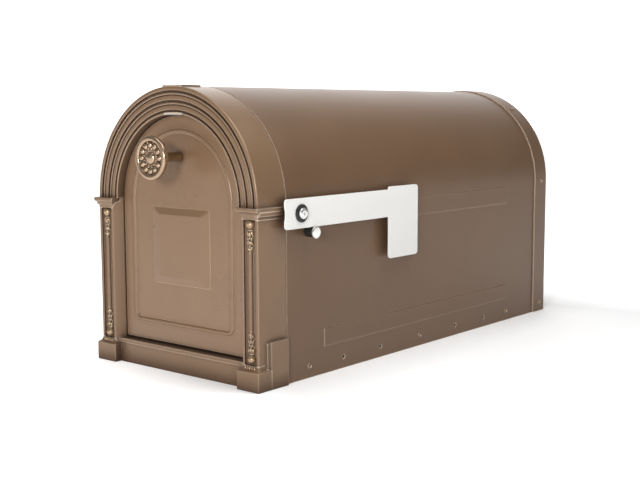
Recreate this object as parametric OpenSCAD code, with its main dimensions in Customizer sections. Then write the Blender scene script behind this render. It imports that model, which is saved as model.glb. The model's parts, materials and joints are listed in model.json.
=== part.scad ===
// Arched kerbside letter and parcel box: folded steel body, cast front frame, drop-down door
// with a rosette knob, and a turning signal flag on the right-hand side.
// The front faces -Y, the flag is on the +X side and +Z is up.

/* [Overall] */
// Outside width of the steel body
shell_w = 233; // [200:1:290]
// Height from the bottom edge to the level where the arch starts
spring_h = 177; // [160:1:230]
// Length from the front of the plinths to the back face
body_len = 570; // [480:1:720]

/* [Sheet metal] */
// Thickness of the body and floor sheet
sheet_t = 1.0; // [0.7:0.1:1.6]
// Thickness of the rear panel sheet
rear_t = 1.5; // [1:0.1:2]
// Width of the body's inward flange behind the front frame
front_flange_w = 16; // [13:0.5:20]
// Length of the rear panel's skirt over the body
rear_skirt_len = 32; // [24:1:40]
// Depth of the recess under the floor that takes the mounting board
board_recess = 20; // [17:0.5:28]
// Clearance between sheets that slide over each other
sheet_gap = 0.1; // [0.05:0.05:0.3]
// Height of the embossed panels above the sheet
emboss_h = 0.8; // [0.4:0.1:1.5]
// Height of the lower embossed panel's lower edge
low_panel_z = 28; // [26:0.5:34]
// Height of the lower embossed panel itself
low_panel_h = 19.5; // [12:0.5:24]
// Distance of the upper embossed panel's top edge below the spring line
high_panel_drop = 4.5; // [2:0.5:10]
// Height of the upper embossed panel itself
high_panel_h = 22; // [14:0.5:26]
// Distance from the plinth front to the start of the long embossed panels
panel_start = 101.5; // [90:0.5:120]
// Distance from the plinth front to the upper panel on the flag side
flag_side_panel_start = 224; // [200:1:260]
// Distance from the back face to the rear end of the embossed panels
panel_end = 101; // [60:1:130]

/* [Mounting holes and rivets] */
// Height of the row of mounting holes and rivets
hole_row_z = 12; // [10:0.5:14]
// Diameter of a mounting hole
mount_hole_d = 4.6; // [3.5:0.1:6]
// Distance from the plinth front to the first rivet of the row
row_front = 79.5; // [70:0.5:100]
// Distance from the back face to the last rivet of the row
row_rear = 100.5; // [60:0.5:120]
// Half the distance between the two inner mounting holes
inner_hole_half = 75; // [60:1:90]
// Half the distance between the two outer mounting holes
outer_hole_half = 140; // [120:1:150]
// Shank diameter of a rivet
rivet_d = 3.2; // [2.4:0.1:4]
// Diameter of a rivet's domed head
rivet_head_d = 6.6; // [5:0.1:8]
// Height of a rivet's domed head
rivet_head_h = 1.6; // [1:0.1:2.5]

/* [Front frame] */
// Depth of the frame from the plinth front to its joint with the body
frame_depth = 44; // [40:0.5:52]
// How far plinths and capitals stand out past the sides of the body
ledge = 3.5; // [2:0.25:6]
// How far the arch and pilaster faces lie behind the plinth front
face_setback = 4.6; // [3:0.1:7]
// Height of a plinth
plinth_h = 19.5; // [14:0.5:26]
// Width of a plinth and of a capital
plinth_w = 29.5; // [26:0.5:34]
// Height of the cove between a plinth and its pilaster
plinth_cove = 5.5; // [3:0.5:8]
// Width of a pilaster
pilaster_w = 21.5; // [18:0.5:25]
// Height of a capital
capital_h = 11.5; // [8:0.5:16]
// Height of a capital's upper fascia
fascia_h = 3.8; // [2:0.1:5]
// Distance that a capital runs back along the side
capital_len = 38; // [30:0.5:40]
// Height of the block at the foot of each side
block_h = 47; // [36:0.5:56]
// Distance from the plinth front to the side block
block_start = 18.5; // [16:0.5:24]
// Height of the sill under the door
sill_h = 26; // [24:0.5:28]
// How far the sill lies behind the plinth front
sill_setback = 7; // [5:0.5:9]
// Wall thickness of the cast frame
casting_t = 3; // [2.5:0.1:4]
// Width of one flat band of the arch moulding
band_w = 5; // [4:0.1:6]
// Width of the deep groove beside a band
groove_w = 1.2; // [0.8:0.1:2]
// Width of the small bead between two bands
bead_w = 2.4; // [1.5:0.1:3]
// Depth of the deep grooves
groove_depth = 2.2; // [1:0.1:3]
// Diameter of a frame screw
frame_screw_d = 4; // [3:0.5:5]

/* [Door] */
// How much narrower the opening is, on each side, than the inner edge of the arch moulding
arch_splay = 1.2; // [0.5:0.1:3]
// Gap round the closed door
door_gap = 1.3; // [0.8:0.1:2]
// Distance from the plinth front to the door's face
door_setback = 15.3; // [13:0.1:17]
// Thickness of the door's plate
door_t = 3; // [2.5:0.1:4]
// Height of the door's lower edge above the sill
door_lift = 5; // [4:0.25:8]
// Depth of the stiffening rim behind the door's plate
rim_depth = 5; // [3:0.5:7]
// Distance from the door's edge to its raised bead
door_bead_inset = 13; // [10:0.5:18]
// Width of the door's raised bead
door_bead_w = 5; // [3:0.5:7]
// Height of the door's raised bead
door_bead_h = 1.6; // [1:0.1:2.5]
// Distance from the door's lower edge to its raised bead
door_bead_lift = 18; // [14:0.5:24]
// Width of the door's raised centre panel
panel_w = 82.5; // [60:0.5:100]
// Height of the door's raised centre panel
panel_h = 79; // [60:0.5:90]
// Distance from the door's lower edge to its centre panel
panel_lift = 62.5; // [50:0.5:75]
// Width of the centre panel's bevel at its two sides
panel_side_bevel = 11.3; // [6:0.1:14]
// Width of the centre panel's bevel at its top and foot
panel_end_bevel = 7; // [4:0.5:12]
// Height of the centre panel above the door's face
panel_raise = 2.6; // [1.5:0.1:4]

/* [Hinge and latch] */
// Diameter of a hinge pin
hinge_pin_d = 4; // [3:0.25:5]
// Diameter of the door's hinge lugs
hinge_lug_d = 9; // [8:0.5:10]
// Length of one hinge lug
hinge_lug_len = 12; // [8:0.5:16]
// Radial clearance of the hinge pin in the door's lug
hinge_fit = 0.05; // [0.02:0.01:0.1]
// Distance of the hinge axis behind the door's face
hinge_back = 5; // [4:0.25:6]
// Distance of the hinge axis above the door's lower edge
hinge_up = 2; // [1:0.25:4]
// Width of the spring catch under the crown of the arch
catch_w = 25; // [18:1:30]
// Thickness of the spring catch
catch_t = 1.2; // [0.8:0.1:1.6]

/* [Knob] */
// Distance from the knob's axis to the top of the closed door
knob_drop = 41.5; // [34:0.5:60]
// Distance from the door's face to the front of the rosette
knob_reach = 41; // [32:0.5:48]
// Diameter of the rosette
rosette_d = 44; // [36:0.5:52]
// Thickness of the rosette at its rim
rosette_t = 6; // [4:0.5:8]
// Diameter of the knob's stem
stem_d = 9.5; // [8:0.25:12]
// Diameter of the knob's screw
knob_screw_d = 4; // [3:0.5:5]

/* [Flag] */
// Distance from the plinth front to the flag's pivot
pivot_y = 56; // [52:0.5:70]
// Distance of the flag's pivot below the spring line
pivot_drop = 7.5; // [4:0.5:14]
// Gap between the body and the flag
flag_gap = 8; // [6:0.5:12]
// Thickness of the flag
flag_t = 2; // [1.5:0.1:3]
// Height of the flag's arm
arm_h = 29.5; // [24:0.5:36]
// Length of the arm's tail in front of the pivot
arm_tail = 23.5; // [20:0.5:28]
// Distance from the pivot to the flag's plate
arm_len = 144.5; // [110:0.5:170]
// Width of the flag's plate
plate_w = 54; // [40:0.5:64]
// Height of the plate above the pivot
plate_up = 17.8; // [15:0.1:24]
// Depth of the plate below the pivot
plate_down = 60; // [40:0.5:74]
// Radius of the flag's corners
flag_corner = 4.5; // [2:0.5:7]
// Diameter of the flag's pivot bolt
pivot_bolt_d = 6; // [5:0.5:8]
// Radial clearance of the pivot bolt in its bushing
pivot_fit = 0.05; // [0.02:0.01:0.1]
// Diameter of the bushing's flange
bushing_flange_d = 18; // [15:0.5:22]
// Diameter of the rubber stop that carries the lowered flag
stop_d = 10.4; // [8:0.2:14]
// Gap between the stop and the arm at both ends of its travel
stop_gap = 0.3; // [0.1:0.1:0.6]

/* [Hidden] */

eps = 0.01;                       // overlap that makes touching solids one
cut = 1;                          // how far a cutter runs past the face it cuts
fn_large = 120;
fn_round = 48;
fn_small = 24;

half_w = shell_w / 2;
board_y = body_len / 2;           // middle of the mounting board's seat
frame_bottom = 0;
shell_start = frame_depth + 0.3;  // hairline joint between frame and body
rear_inner_y = body_len - rear_t;
skirt_r = half_w + sheet_gap;     // inside of the rear panel's skirt
capital_x = half_w + ledge;       // outside of plinths, blocks and capitals
spring_z = spring_h;
crown_z = spring_h + half_w;
panel_end_y = body_len - panel_end;
hole_row_mid = (row_front + body_len - row_rear) / 2;
end_rivet_half = hole_row_mid - row_front;
high_panel_z = spring_h - high_panel_drop - high_panel_h;

// arch moulding, from the outside inwards
line_w = 0.7;
moulding_step = 0.7;              // each band lies this much behind the one outside it
lip_w = 2;
moulding_w = 2 * (band_w + groove_w + bead_w + line_w) + band_w + groove_w + lip_w;
arch_inner_r = half_w - moulding_w;

// door
opening_r = arch_inner_r - arch_splay;
door_r = opening_r - door_gap;
door_y = door_setback;
door_z = sill_h + door_lift;
door_top = spring_z + door_r;
door_back = door_y + door_t;
hinge_y = door_y + hinge_back;
hinge_z = door_z + hinge_up;
rim_t = 2.5;
bead_r = door_r - door_bead_inset;
bead_corner = 9;
knob_z = door_top - knob_drop;
rosette_front = door_y - knob_reach;
rosette_back = rosette_front + rosette_t;
stem_socket = 2.4;                 // how far the stem enters the rosette
knob_socket_gap = 0.1;

// frame casting
pocket_y = door_back + 2;
boss_d = frame_screw_d + 5;
boss_r_path = half_w - front_flange_w / 2;
frame_screw_len = 12;
screw_angles = [30, 90, 150];
jamb_screw_z = [70, 150];
pan_head_h = 2.4;

// latch
notch_w = catch_w + 1;
catch_top = spring_z + arch_inner_r + 0.4;
catch_front = face_setback + 2;
nose_y = door_back + 9;
catch_end = frame_depth - 2;
tab_w = 16;
tab_t = 1.5;
tab_clear = 0.6;

// flag hardware, as distances along +X
flag_in = half_w + flag_gap;
flag_out = flag_in + flag_t;
shell_in = half_w - sheet_t;
bush_gap = 0.3;
bush_flange_t = 1.5;
bush_barrel_d = pivot_bolt_d + 5;
bush_front = flag_out + bush_flange_t;
bolt_head_d = pivot_bolt_d + 5;
bolt_head_h = 2.6;
pivot_z = spring_z - pivot_drop;
stop_offset = arm_h / 2 + stop_d / 2 + stop_gap;
stop_y = pivot_y + stop_offset;
stop_z = pivot_z - stop_offset;
stop_head_d = stop_d + 1.8;
stop_head_h = 2.2;
stop_screw_d = 5;
sleeve_end = flag_out + 0.8;
washer_t = 1.2;
spring_washer_t = 1.4;
nut_h = 4.5;

bronze = [0.50, 0.41, 0.33];
brass = [0.62, 0.50, 0.38];
silver = [0.80, 0.80, 0.79];
steel = [0.62, 0.63, 0.64];
black = [0.08, 0.08, 0.08];

// ---- frame of reference -------------------------------------------------------------

// The origin is the middle of the mounting board's seat under the floor.
module placed() translate([0, -board_y, -board_recess]) children();

// Turns a shape drawn in X and Z, extruded along +Z of its own, to run from y0 towards +Y.
module along_y(y0, len) translate([0, y0 + len, 0]) rotate([90, 0, 0]) linear_extrude(len) children();

// A round bar along +Y or +X.
module bar_y(d, y0, y1, fn = fn_round)
    translate([0, y0, 0]) rotate([-90, 0, 0]) cylinder(d = d, h = y1 - y0, $fn = fn);
module bar_x(d, x0, x1, fn = fn_round)
    translate([x0, 0, 0]) rotate([0, 90, 0]) cylinder(d = d, h = x1 - x0, $fn = fn);

// Both mirror images in the plane X = 0.
module both_sides() {
    children();
    mirror([1, 0, 0]) children();
}

// Front view of an arch: straight sides from z0 up to the spring line, then a half circle.
module arch_shape(r, z0) {
    translate([-r, z0]) square([2 * r, spring_z - z0]);
    intersection() {
        translate([0, spring_z]) circle(r, $fn = fn_large);
        translate([-r - cut, spring_z - eps]) square([2 * (r + cut), r + cut]);
    }
}

// ---- sheet metal --------------------------------------------------------------------

// A cuboid on the right-hand wall, from start to end along the body.
module wall_patch(start, z, h, x0, x1)
    translate([x0, start, z]) cube([x1 - x0, panel_end_y - start, h]);

module embossing(x0, x1) {
    wall_patch(panel_start, low_panel_z, low_panel_h, x0, x1);
    wall_patch(flag_side_panel_start, high_panel_z, high_panel_h, x0, x1);
    mirror([1, 0, 0]) {
        wall_patch(panel_start, low_panel_z, low_panel_h, x0, x1);
        wall_patch(panel_start, high_panel_z, high_panel_h, x0, x1);
    }
}

// The same hole row in the body and in the floor's flanges.
module at_row(offsets)
    for (dy = offsets) translate([0, hole_row_mid + dy, hole_row_z]) children();

module mount_holes(x0, x1)
    both_sides() at_row([-outer_hole_half, -inner_hole_half, inner_hole_half, outer_hole_half])
        bar_x(mount_hole_d, x0, x1, fn_small);

module rivet_holes(x0, x1)
    both_sides() at_row([-end_rivet_half, 0, end_rivet_half]) bar_x(rivet_d, x0, x1, fn_small);

// Places of the screws that hold the body's front flange to the frame.
module at_frame_screws() {
    for (a = screw_angles)
        translate([boss_r_path * cos(a), 0, spring_z + boss_r_path * sin(a)]) children();
    both_sides() for (z = jamb_screw_z) translate([boss_r_path, 0, z]) children();
}

// Places of the rivets round the rear skirt, pointing outwards along the local +X.
rear_rivet_y = body_len - rear_skirt_len / 2;
rear_rivet_z = [hole_row_z, spring_z - 2];
rear_rivet_angles = [52, 128];
module at_rear_rivets() {
    both_sides() for (z = rear_rivet_z) translate([0, rear_rivet_y, z]) children();
    for (a = rear_rivet_angles)
        translate([0, rear_rivet_y, spring_z]) rotate([0, -a, 0]) children();
}

module body_shell() placed() color(bronze) difference() {
    union() {
        along_y(shell_start, rear_inner_y - sheet_gap - shell_start) difference() {
            arch_shape(half_w, frame_bottom);
            arch_shape(half_w - sheet_t, frame_bottom - cut);
        }
        along_y(shell_start, sheet_t) difference() {
            arch_shape(half_w - eps, frame_bottom);
            arch_shape(half_w - front_flange_w, frame_bottom - cut);
        }
        embossing(half_w - sheet_t, half_w + emboss_h);
    }
    embossing(half_w - sheet_t - cut, half_w + emboss_h - sheet_t);
    mount_holes(half_w - sheet_t - cut, half_w + cut);
    rivet_holes(half_w - sheet_t - cut, half_w + cut);
    at_rear_rivets() bar_x(rivet_d, half_w - sheet_t - cut, half_w + cut, fn_small);
    at_frame_screws() bar_y(frame_screw_d, shell_start - cut, shell_start + sheet_t + cut);
    at_pivot() bar_x(pivot_bolt_d + 0.2, shell_in - cut, half_w + cut);
    at_stop() bar_x(stop_screw_d + 0.2, shell_in - cut, half_w + cut);
}

pan_x = shell_in - sheet_gap;
pan_y0 = shell_start + sheet_t + 1;
pan_y1 = rear_inner_y - 0.05;
pan_flange_end = rear_rivet_y - rivet_head_d;   // clear of the rear rivets' tails
pan_bottom = 1;
pan_upstand = 14;
rib_w = 12;
rib_h = 1.5;
rib_x = 55;
module floor_pan() placed() color(steel) difference() {
    union() {
        translate([-pan_x, pan_y0, board_recess])
            cube([2 * pan_x, pan_y1 - pan_y0, sheet_t]);
        both_sides() translate([pan_x - sheet_t, pan_y0, pan_bottom])
            cube([sheet_t, pan_flange_end - pan_y0, board_recess - pan_bottom + eps]);
        translate([-pan_x, pan_y1 - sheet_t, board_recess])
            cube([2 * pan_x, sheet_t, pan_upstand]);
        for (x = [-rib_x, rib_x]) translate([x - rib_w / 2, pan_y0 + 40, board_recess])
            cube([rib_w, pan_y1 - pan_y0 - 80, sheet_t + rib_h]);
    }
    for (x = [-rib_x, rib_x]) translate([x - rib_w / 2 + sheet_t, pan_y0 + 41, board_recess - cut])
        cube([rib_w - 2 * sheet_t, pan_y1 - pan_y0 - 82, cut + rib_h]);
    mount_holes(pan_x - sheet_t - cut, pan_x + cut);
    rivet_holes(pan_x - sheet_t - cut, pan_x + cut);
    at_floor_rivets() bar_y(rivet_d, pan_y1 - sheet_t - cut, pan_y1 + cut, fn_small);
}

floor_rivet_edge = 36.5;           // from the side of the body to the outer floor rivets
floor_rivet_x = [floor_rivet_edge - half_w, 0, half_w - floor_rivet_edge];
module at_floor_rivets() for (x = floor_rivet_x)
    translate([x, 0, board_recess + sheet_t + pan_upstand / 2]) children();

module rear_panel() placed() color(bronze) difference() {
    along_y(body_len - rear_skirt_len, rear_skirt_len)
        arch_shape(skirt_r + rear_t, frame_bottom);
    along_y(body_len - rear_skirt_len - cut, rear_skirt_len + cut - rear_t)
        arch_shape(skirt_r, frame_bottom - cut);
    at_rear_rivets() bar_x(rivet_d, half_w - cut, half_w + rear_t + cut, fn_small);
    at_floor_rivets() bar_y(rivet_d, rear_inner_y - cut, body_len + cut, fn_small);
}

// A rivet along +X: shank, domed head outside and a spread tail inside.
dome_r = (rivet_head_d * rivet_head_d / 4 + rivet_head_h * rivet_head_h) / (2 * rivet_head_h);
module rivet_x(x0, x1) {
    bar_x(rivet_d - 0.1, x0 - 1.2, x1 + 0.2, fn_small);
    bar_x(rivet_d + 1.6, x0 - 1.2, x0 - 0.02, fn_small);
    translate([x1 + 0.02, 0, 0]) rotate([0, 90, 0]) rotate_extrude($fn = fn_small) intersection() {
        translate([0, rivet_head_h - dome_r]) circle(dome_r, $fn = fn_round);
        square([rivet_head_d, rivet_head_h]);
    }
}

module rear_rivets() placed() color(bronze)
    at_rear_rivets() rivet_x(half_w - sheet_t, skirt_r + rear_t);

module side_rivets() placed() color(bronze) both_sides()
    at_row([-end_rivet_half, 0, end_rivet_half]) rivet_x(pan_x - sheet_t, half_w);

module floor_rivets() placed() color(steel) at_floor_rivets()
    rotate([0, 0, 90]) rivet_x(pan_y1 - sheet_t, body_len);

// ---- cast front frame ---------------------------------------------------------------

// Section of the arch moulding: radius against distance behind the plinth front.
function band_y(i) = face_setback + i * moulding_step;
function band_r(i) = half_w - i * (band_w + groove_w + bead_w + line_w);
function one_band(i) = [
    [band_r(i), band_y(i)],
    [band_r(i) - band_w, band_y(i)],
    [band_r(i) - band_w, band_y(i) + groove_depth],
    [band_r(i) - band_w - groove_w, band_y(i) + groove_depth],
    [band_r(i) - band_w - groove_w, band_y(i) + 0.4],
    [band_r(i) - band_w - groove_w - bead_w, band_y(i) + 0.4],
    [band_r(i) - band_w - groove_w - bead_w, band_y(i) + 1.6],
    [band_r(i + 1), band_y(i) + 1.6]];
last_r = band_r(2);
moulding_section = concat(
    one_band(0),
    one_band(1),
    [[last_r, band_y(2)],
    [last_r - band_w, band_y(2)],
    [last_r - band_w, band_y(2) + groove_depth],
    [last_r - band_w - groove_w, band_y(2) + groove_depth],
    [last_r - band_w - groove_w, band_y(2) + 0.4],
    [arch_inner_r, band_y(2) + 0.4],
    [arch_inner_r, band_y(2) + 2.4],
    [opening_r, door_y - 1],
    [opening_r, pocket_y + 2],
    [half_w - 0.5, pocket_y + 2]]);

module arch_moulding() translate([0, 0, spring_z]) rotate([90, 0, 0])
    rotate_extrude(angle = 180, $fn = fn_large)
        polygon([for (p = moulding_section) [p[0], -p[1]]]);

// Ring and uprights behind the moulding, open at the back between two walls.
module channel_shape(r) difference() {
    arch_shape(r, frame_bottom);
    arch_shape(r - casting_t, frame_bottom - cut);
}
module frame_channel() {
    along_y(pocket_y, frame_depth - pocket_y) channel_shape(half_w);
    along_y(pocket_y, frame_depth - 8 - pocket_y) channel_shape(opening_r + casting_t);
}

// Plan of the right-hand pilaster with its splayed inner side.
pilaster_in = half_w - pilaster_w;
channel_in = pilaster_in + 2.5;
channel_out = half_w - 3.5;
channel_depth = 2.5;
module pilaster_plan() polygon([
    [half_w, face_setback],
    [channel_out, face_setback],
    [channel_out, face_setback + channel_depth],
    [channel_in, face_setback + channel_depth],
    [channel_in, face_setback],
    [pilaster_in, face_setback],
    [opening_r, door_y - 1],
    [opening_r, pocket_y + eps],
    [half_w, pocket_y + eps]]);

reed_x = (channel_in + channel_out) / 2;
reed_d = 5.6;
reed_z0 = plinth_h + plinth_cove + 34;
reed_z1 = spring_z - capital_h - 33;
rosebud_d = 9;
spray_len = 24;
module pilaster() {
    translate([0, 0, frame_bottom]) linear_extrude(spring_z) pilaster_plan();
    // central reed with a spray of buds at both ends
    translate([reed_x, face_setback + channel_depth, reed_z0])
        cylinder(d = reed_d, h = reed_z1 - reed_z0, $fn = fn_small);
    for (z = [plinth_h + plinth_cove + 5, spring_z - capital_h - 5])
        translate([reed_x, face_setback + channel_depth, z]) sphere(d = rosebud_d, $fn = fn_small);
    for (z0 = [plinth_h + plinth_cove + 10, reed_z1], i = [0 : 3])
        translate([reed_x, face_setback + channel_depth - 0.5, z0 + (i + 0.5) * spray_len / 4])
            sphere(d = reed_d + 0.6 - i % 2, $fn = fn_small);
    // solid foot and head that close the channel
    translate([pilaster_in, face_setback, frame_bottom])
        cube([pilaster_w - eps, channel_depth + 1, plinth_h + plinth_cove]);
    translate([pilaster_in, face_setback, spring_z - capital_h])
        cube([pilaster_w - eps, channel_depth + 1, capital_h]);
}

// Profile of a plinth or capital as it steps out from the pilaster, outwards against height.
plinth_in = capital_x - plinth_w;
cove_steps = 5;
block_root = 30;                  // how far the blocks' profiles reach into the casting
function cove(w, h) = [for (i = [0 : cove_steps])
    let (a = 90 * i / cove_steps) [w * (1 - sin(a)), h * (1 - cos(a))]];
function plinth_side(out) = concat(
    [[-block_root, 0], [out, 0], [out, plinth_h]],
    [for (p = cove(out, plinth_cove)) [p[0], plinth_h + p[1]]],
    [[-block_root, plinth_h + plinth_cove]]);
function capital_side(out) = concat(
    [[-block_root, capital_h], [out, capital_h], [out, capital_h - fascia_h]],
    [for (p = cove(out, capital_h - fascia_h)) [p[0], capital_h - fascia_h - p[1]]],
    [[-block_root, 0]]);

// The same steps on the front face and on the outer side, mitred at the corner.
module stepped_block(profile_x, profile_y, z0, depth) intersection() {
    translate([half_w, depth, z0]) rotate([90, 0, 0]) linear_extrude(depth) polygon(profile_x);
    translate([plinth_in, face_setback, z0]) rotate([90, 0, 90])
        linear_extrude(plinth_w + cut)
            polygon([for (p = profile_y) [-p[0] > 0 ? depth : -p[0], p[1]]]);
}

module plinth() stepped_block(plinth_side(ledge), plinth_side(face_setback), frame_bottom, block_start);
module capital() stepped_block(capital_side(ledge), capital_side(face_setback),
    spring_z - capital_h, capital_len);

// A thinner step stands in front of the block.
step_len = 4;
step_drop = 1;
module side_block() {
    translate([half_w - casting_t, block_start, frame_bottom])
        cube([ledge + casting_t, frame_depth - block_start, block_h]);
    translate([half_w - casting_t, block_start - step_len, frame_bottom])
        cube([casting_t + ledge / 2, step_len + eps, block_h - step_drop]);
}

// The sill is a hollow beam, open underneath.
sill_in = plinth_in + 2;
sill_lip_h = 4.5;
sill_lip = 1.2;
module sill() difference() {
    union() {
        translate([-sill_in, sill_setback + sill_lip, frame_bottom])
            cube([2 * sill_in, frame_depth - sill_setback - sill_lip, sill_h]);
        translate([-sill_in, sill_setback, sill_h - sill_lip_h])
            cube([2 * sill_in, sill_lip + cut, sill_lip_h]);
    }
    translate([-opening_r + casting_t, sill_setback + sill_lip + casting_t, frame_bottom - cut])
        cube([2 * (opening_r - casting_t), frame_depth, sill_h - casting_t + cut]);
}

crown_pad_w = 28;
crown_pad_len = 27;
crown_pad_h = 1;
hinge_boss_len = 14;
module front_frame() placed() color(bronze) difference() {
    union() {
        arch_moulding();
        frame_channel();
        both_sides() {
            pilaster();
            plinth();
            capital();
            side_block();
            // thick walls round the hinge pin
            translate([0, hinge_y, hinge_z])
                bar_x(hinge_lug_d + 1, opening_r, opening_r + hinge_boss_len);
        }
        sill();
        intersection() {
            at_frame_screws() bar_y(boss_d, pocket_y, frame_depth);
            along_y(0, frame_depth + cut) arch_shape(half_w - eps, frame_bottom);
        }
        translate([-crown_pad_w / 2, face_setback + 1, crown_z - 4])
            cube([crown_pad_w, crown_pad_len, 4 + crown_pad_h]);
        // bed of the spring catch
        translate([-notch_w / 2 - 2, catch_front, catch_top])
            cube([notch_w + 4, catch_end - catch_front, casting_t + 3]);
    }
    at_frame_screws() bar_y(frame_screw_d - 0.2, frame_depth - frame_screw_len - 1, frame_depth + cut);
    both_sides() translate([0, hinge_y, hinge_z])
        bar_x(hinge_pin_d + 0.04, opening_r - cut, opening_r + hinge_boss_len - 2);
    translate([-notch_w / 2, catch_front, spring_z + opening_r - 4])
        cube([notch_w, frame_depth, catch_top - spring_z - opening_r + 4]);
    for (x = catch_screw_x) translate([x, catch_screw_y, catch_top - cut])
        cylinder(d = 2.4, h = cut + 5, $fn = fn_small);
}

module frame_screws() placed() color(steel) at_frame_screws() {
    bar_y(frame_screw_d - 0.24, frame_depth - frame_screw_len, shell_start + sheet_t + 0.5);
    difference() {
        bar_y(2 * frame_screw_d, shell_start + sheet_t + 0.02, shell_start + sheet_t + pan_head_h);
        translate([-0.5, shell_start + sheet_t + pan_head_h - 1, -cut - frame_screw_d])
            cube([1, 2, 2 * (frame_screw_d + cut)]);
    }
}

// ---- catch, hinge and door ----------------------------------------------------------

catch_screw_x = [-7, 7];
catch_screw_y = 37;
catch_low = catch_top - 2.6;
nose_low = catch_top - 2.8;
module latch_catch() placed() color(silver) difference() {
    union() {
        // strip under the crown with a turned-down lip in front and a nose behind the door
        translate([-catch_w / 2, catch_front, catch_top - catch_t - 0.05])
            cube([catch_w, catch_end - catch_front, catch_t]);
        translate([-catch_w / 2, catch_front, catch_low])
            cube([catch_w, catch_t, catch_top - catch_low - 0.05]);
        translate([-tab_w / 2 - 1, nose_y - 1.6, nose_low])
            cube([tab_w + 2, catch_t, catch_top - nose_low - 0.05]);
    }
    for (x = catch_screw_x) translate([x, catch_screw_y, catch_top - catch_t - cut])
        cylinder(d = 3, h = 2 * cut + catch_t, $fn = fn_small);
}

module catch_screws() placed() color(steel) for (x = catch_screw_x)
    translate([x, catch_screw_y, 0]) {
        translate([0, 0, catch_top - catch_t - 1]) cylinder(d = 2.3, h = catch_t + 5.8, $fn = fn_small);
        translate([0, 0, catch_top - catch_t - 1.6]) cylinder(d = 5, h = 1.5, $fn = fn_small);
    }

module hinge_pins() placed() color(steel) both_sides() translate([0, hinge_y, hinge_z])
    bar_x(hinge_pin_d, opening_r - hinge_lug_len - door_gap, opening_r + hinge_boss_len - 2.2);

// Outline of the door or of a line that runs parallel to its edge.
module door_shape(r, z0, corner) {
    translate([-r + corner, z0]) square([2 * (r - corner), corner + eps]);
    translate([-r, z0 + corner]) square([2 * r, spring_z - z0 - corner]);
    for (s = [-1, 1]) translate([s * (r - corner), z0 + corner]) circle(corner, $fn = fn_round);
    intersection() {
        translate([0, spring_z]) circle(r, $fn = fn_large);
        translate([-r - cut, spring_z - eps]) square([2 * (r + cut), r + cut]);
    }
}

panel_z = door_z + panel_lift;
tab_screw_z = door_top - 18;
tab_screw_x = [-5, 5];
module raised_panel() hull() {
    translate([-panel_w / 2, door_y, panel_z]) cube([panel_w, eps, panel_h]);
    translate([panel_side_bevel - panel_w / 2, door_y - panel_raise, panel_z + panel_end_bevel])
        cube([panel_w - 2 * panel_side_bevel, eps, panel_h - 2 * panel_end_bevel]);
}

module door_panel() placed() color(bronze) difference() {
    union() {
        along_y(door_y, door_t) door_shape(door_r, door_z, 2);
        along_y(door_back - eps, rim_depth) difference() {
            door_shape(door_r, door_z, 2);
            door_shape(door_r - rim_t, door_z + rim_t, 1);
        }
        along_y(door_y - door_bead_h, door_bead_h + eps) difference() {
            door_shape(bead_r, door_z + door_bead_lift, bead_corner);
            door_shape(bead_r - door_bead_w, door_z + door_bead_lift + door_bead_w,
                bead_corner - door_bead_w + 1);
        }
        raised_panel();
        both_sides() translate([0, hinge_y, hinge_z])
            bar_x(hinge_lug_d, door_r - hinge_lug_len, door_r);
        // pads for the knob and the latch tab
        translate([0, 0, knob_z]) bar_y(2.2 * stem_d, door_back - eps, door_back + 2);
        translate([-tab_w / 2, door_back - eps, tab_screw_z - 5]) cube([tab_w, 3, 10]);
    }
    both_sides() translate([0, hinge_y, hinge_z])
        bar_x(hinge_pin_d + 2 * hinge_fit, door_r - hinge_lug_len - cut, door_r + cut);
    translate([0, 0, knob_z]) bar_y(knob_screw_d + 0.4, door_y - cut, door_back + 4);
    for (x = tab_screw_x) translate([x, 0, tab_screw_z])
        bar_y(2.4, door_back - 1.5, door_back + 4, fn_small);
    // slot in the rim that the latch tab passes through
    translate([-tab_w / 2 - 0.5, door_back + 2, door_top - rim_t - 2])
        cube([tab_w + 1, rim_depth, rim_t + 4]);
}

tab_y = door_back + 3;
hook_y = nose_y + 0.4;
hook_top = nose_low - tab_clear;
module latch_tab() placed() color(silver) difference() {
    union() {
        translate([-tab_w / 2, tab_y, tab_screw_z - 5])
            cube([tab_w, tab_t, hook_top - 3 - tab_screw_z + 5]);
        translate([-tab_w / 2, tab_y, hook_top - 3 - tab_t])
            cube([tab_w, hook_y + tab_t - tab_y, tab_t]);
        translate([-tab_w / 2, hook_y, hook_top - 3 - tab_t]) cube([tab_w, tab_t, 3 + tab_t]);
    }
    for (x = tab_screw_x) translate([x, 0, tab_screw_z])
        bar_y(3, tab_y - cut, tab_y + tab_t + cut, fn_small);
}

module latch_tab_screws() placed() color(steel) for (x = tab_screw_x) translate([x, 0, tab_screw_z]) {
    bar_y(2.3, door_back - 1.4, tab_y + tab_t + 0.1, fn_small);
    bar_y(5, tab_y + tab_t + 0.02, tab_y + tab_t + 1.6, fn_small);
}

// ---- knob ---------------------------------------------------------------------------

module knob_stem() placed() color(brass) translate([0, 0, knob_z]) difference() {
    union() {
        bar_y(stem_d, rosette_back - stem_socket, door_y - 0.02);
        bar_y(stem_d + 2.4, rosette_back + 0.02, rosette_back + 2.2);
    }
    bar_y(knob_screw_d - 0.2, door_y - 16, door_y + cut);
}

petals = 12;
petal_d = 5.2;
petal_ring_r = 12.8;
rosette_lip = 5;                  // width of the rolled rim
rosette_dish = 2.2;               // depth of the face inside the rim
dome_d = 13;
dome_h = 6;
dome_seat = 0.8;                  // how deep the dome is let into the face
rosette_face = -rosette_front - rosette_dish;

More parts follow.
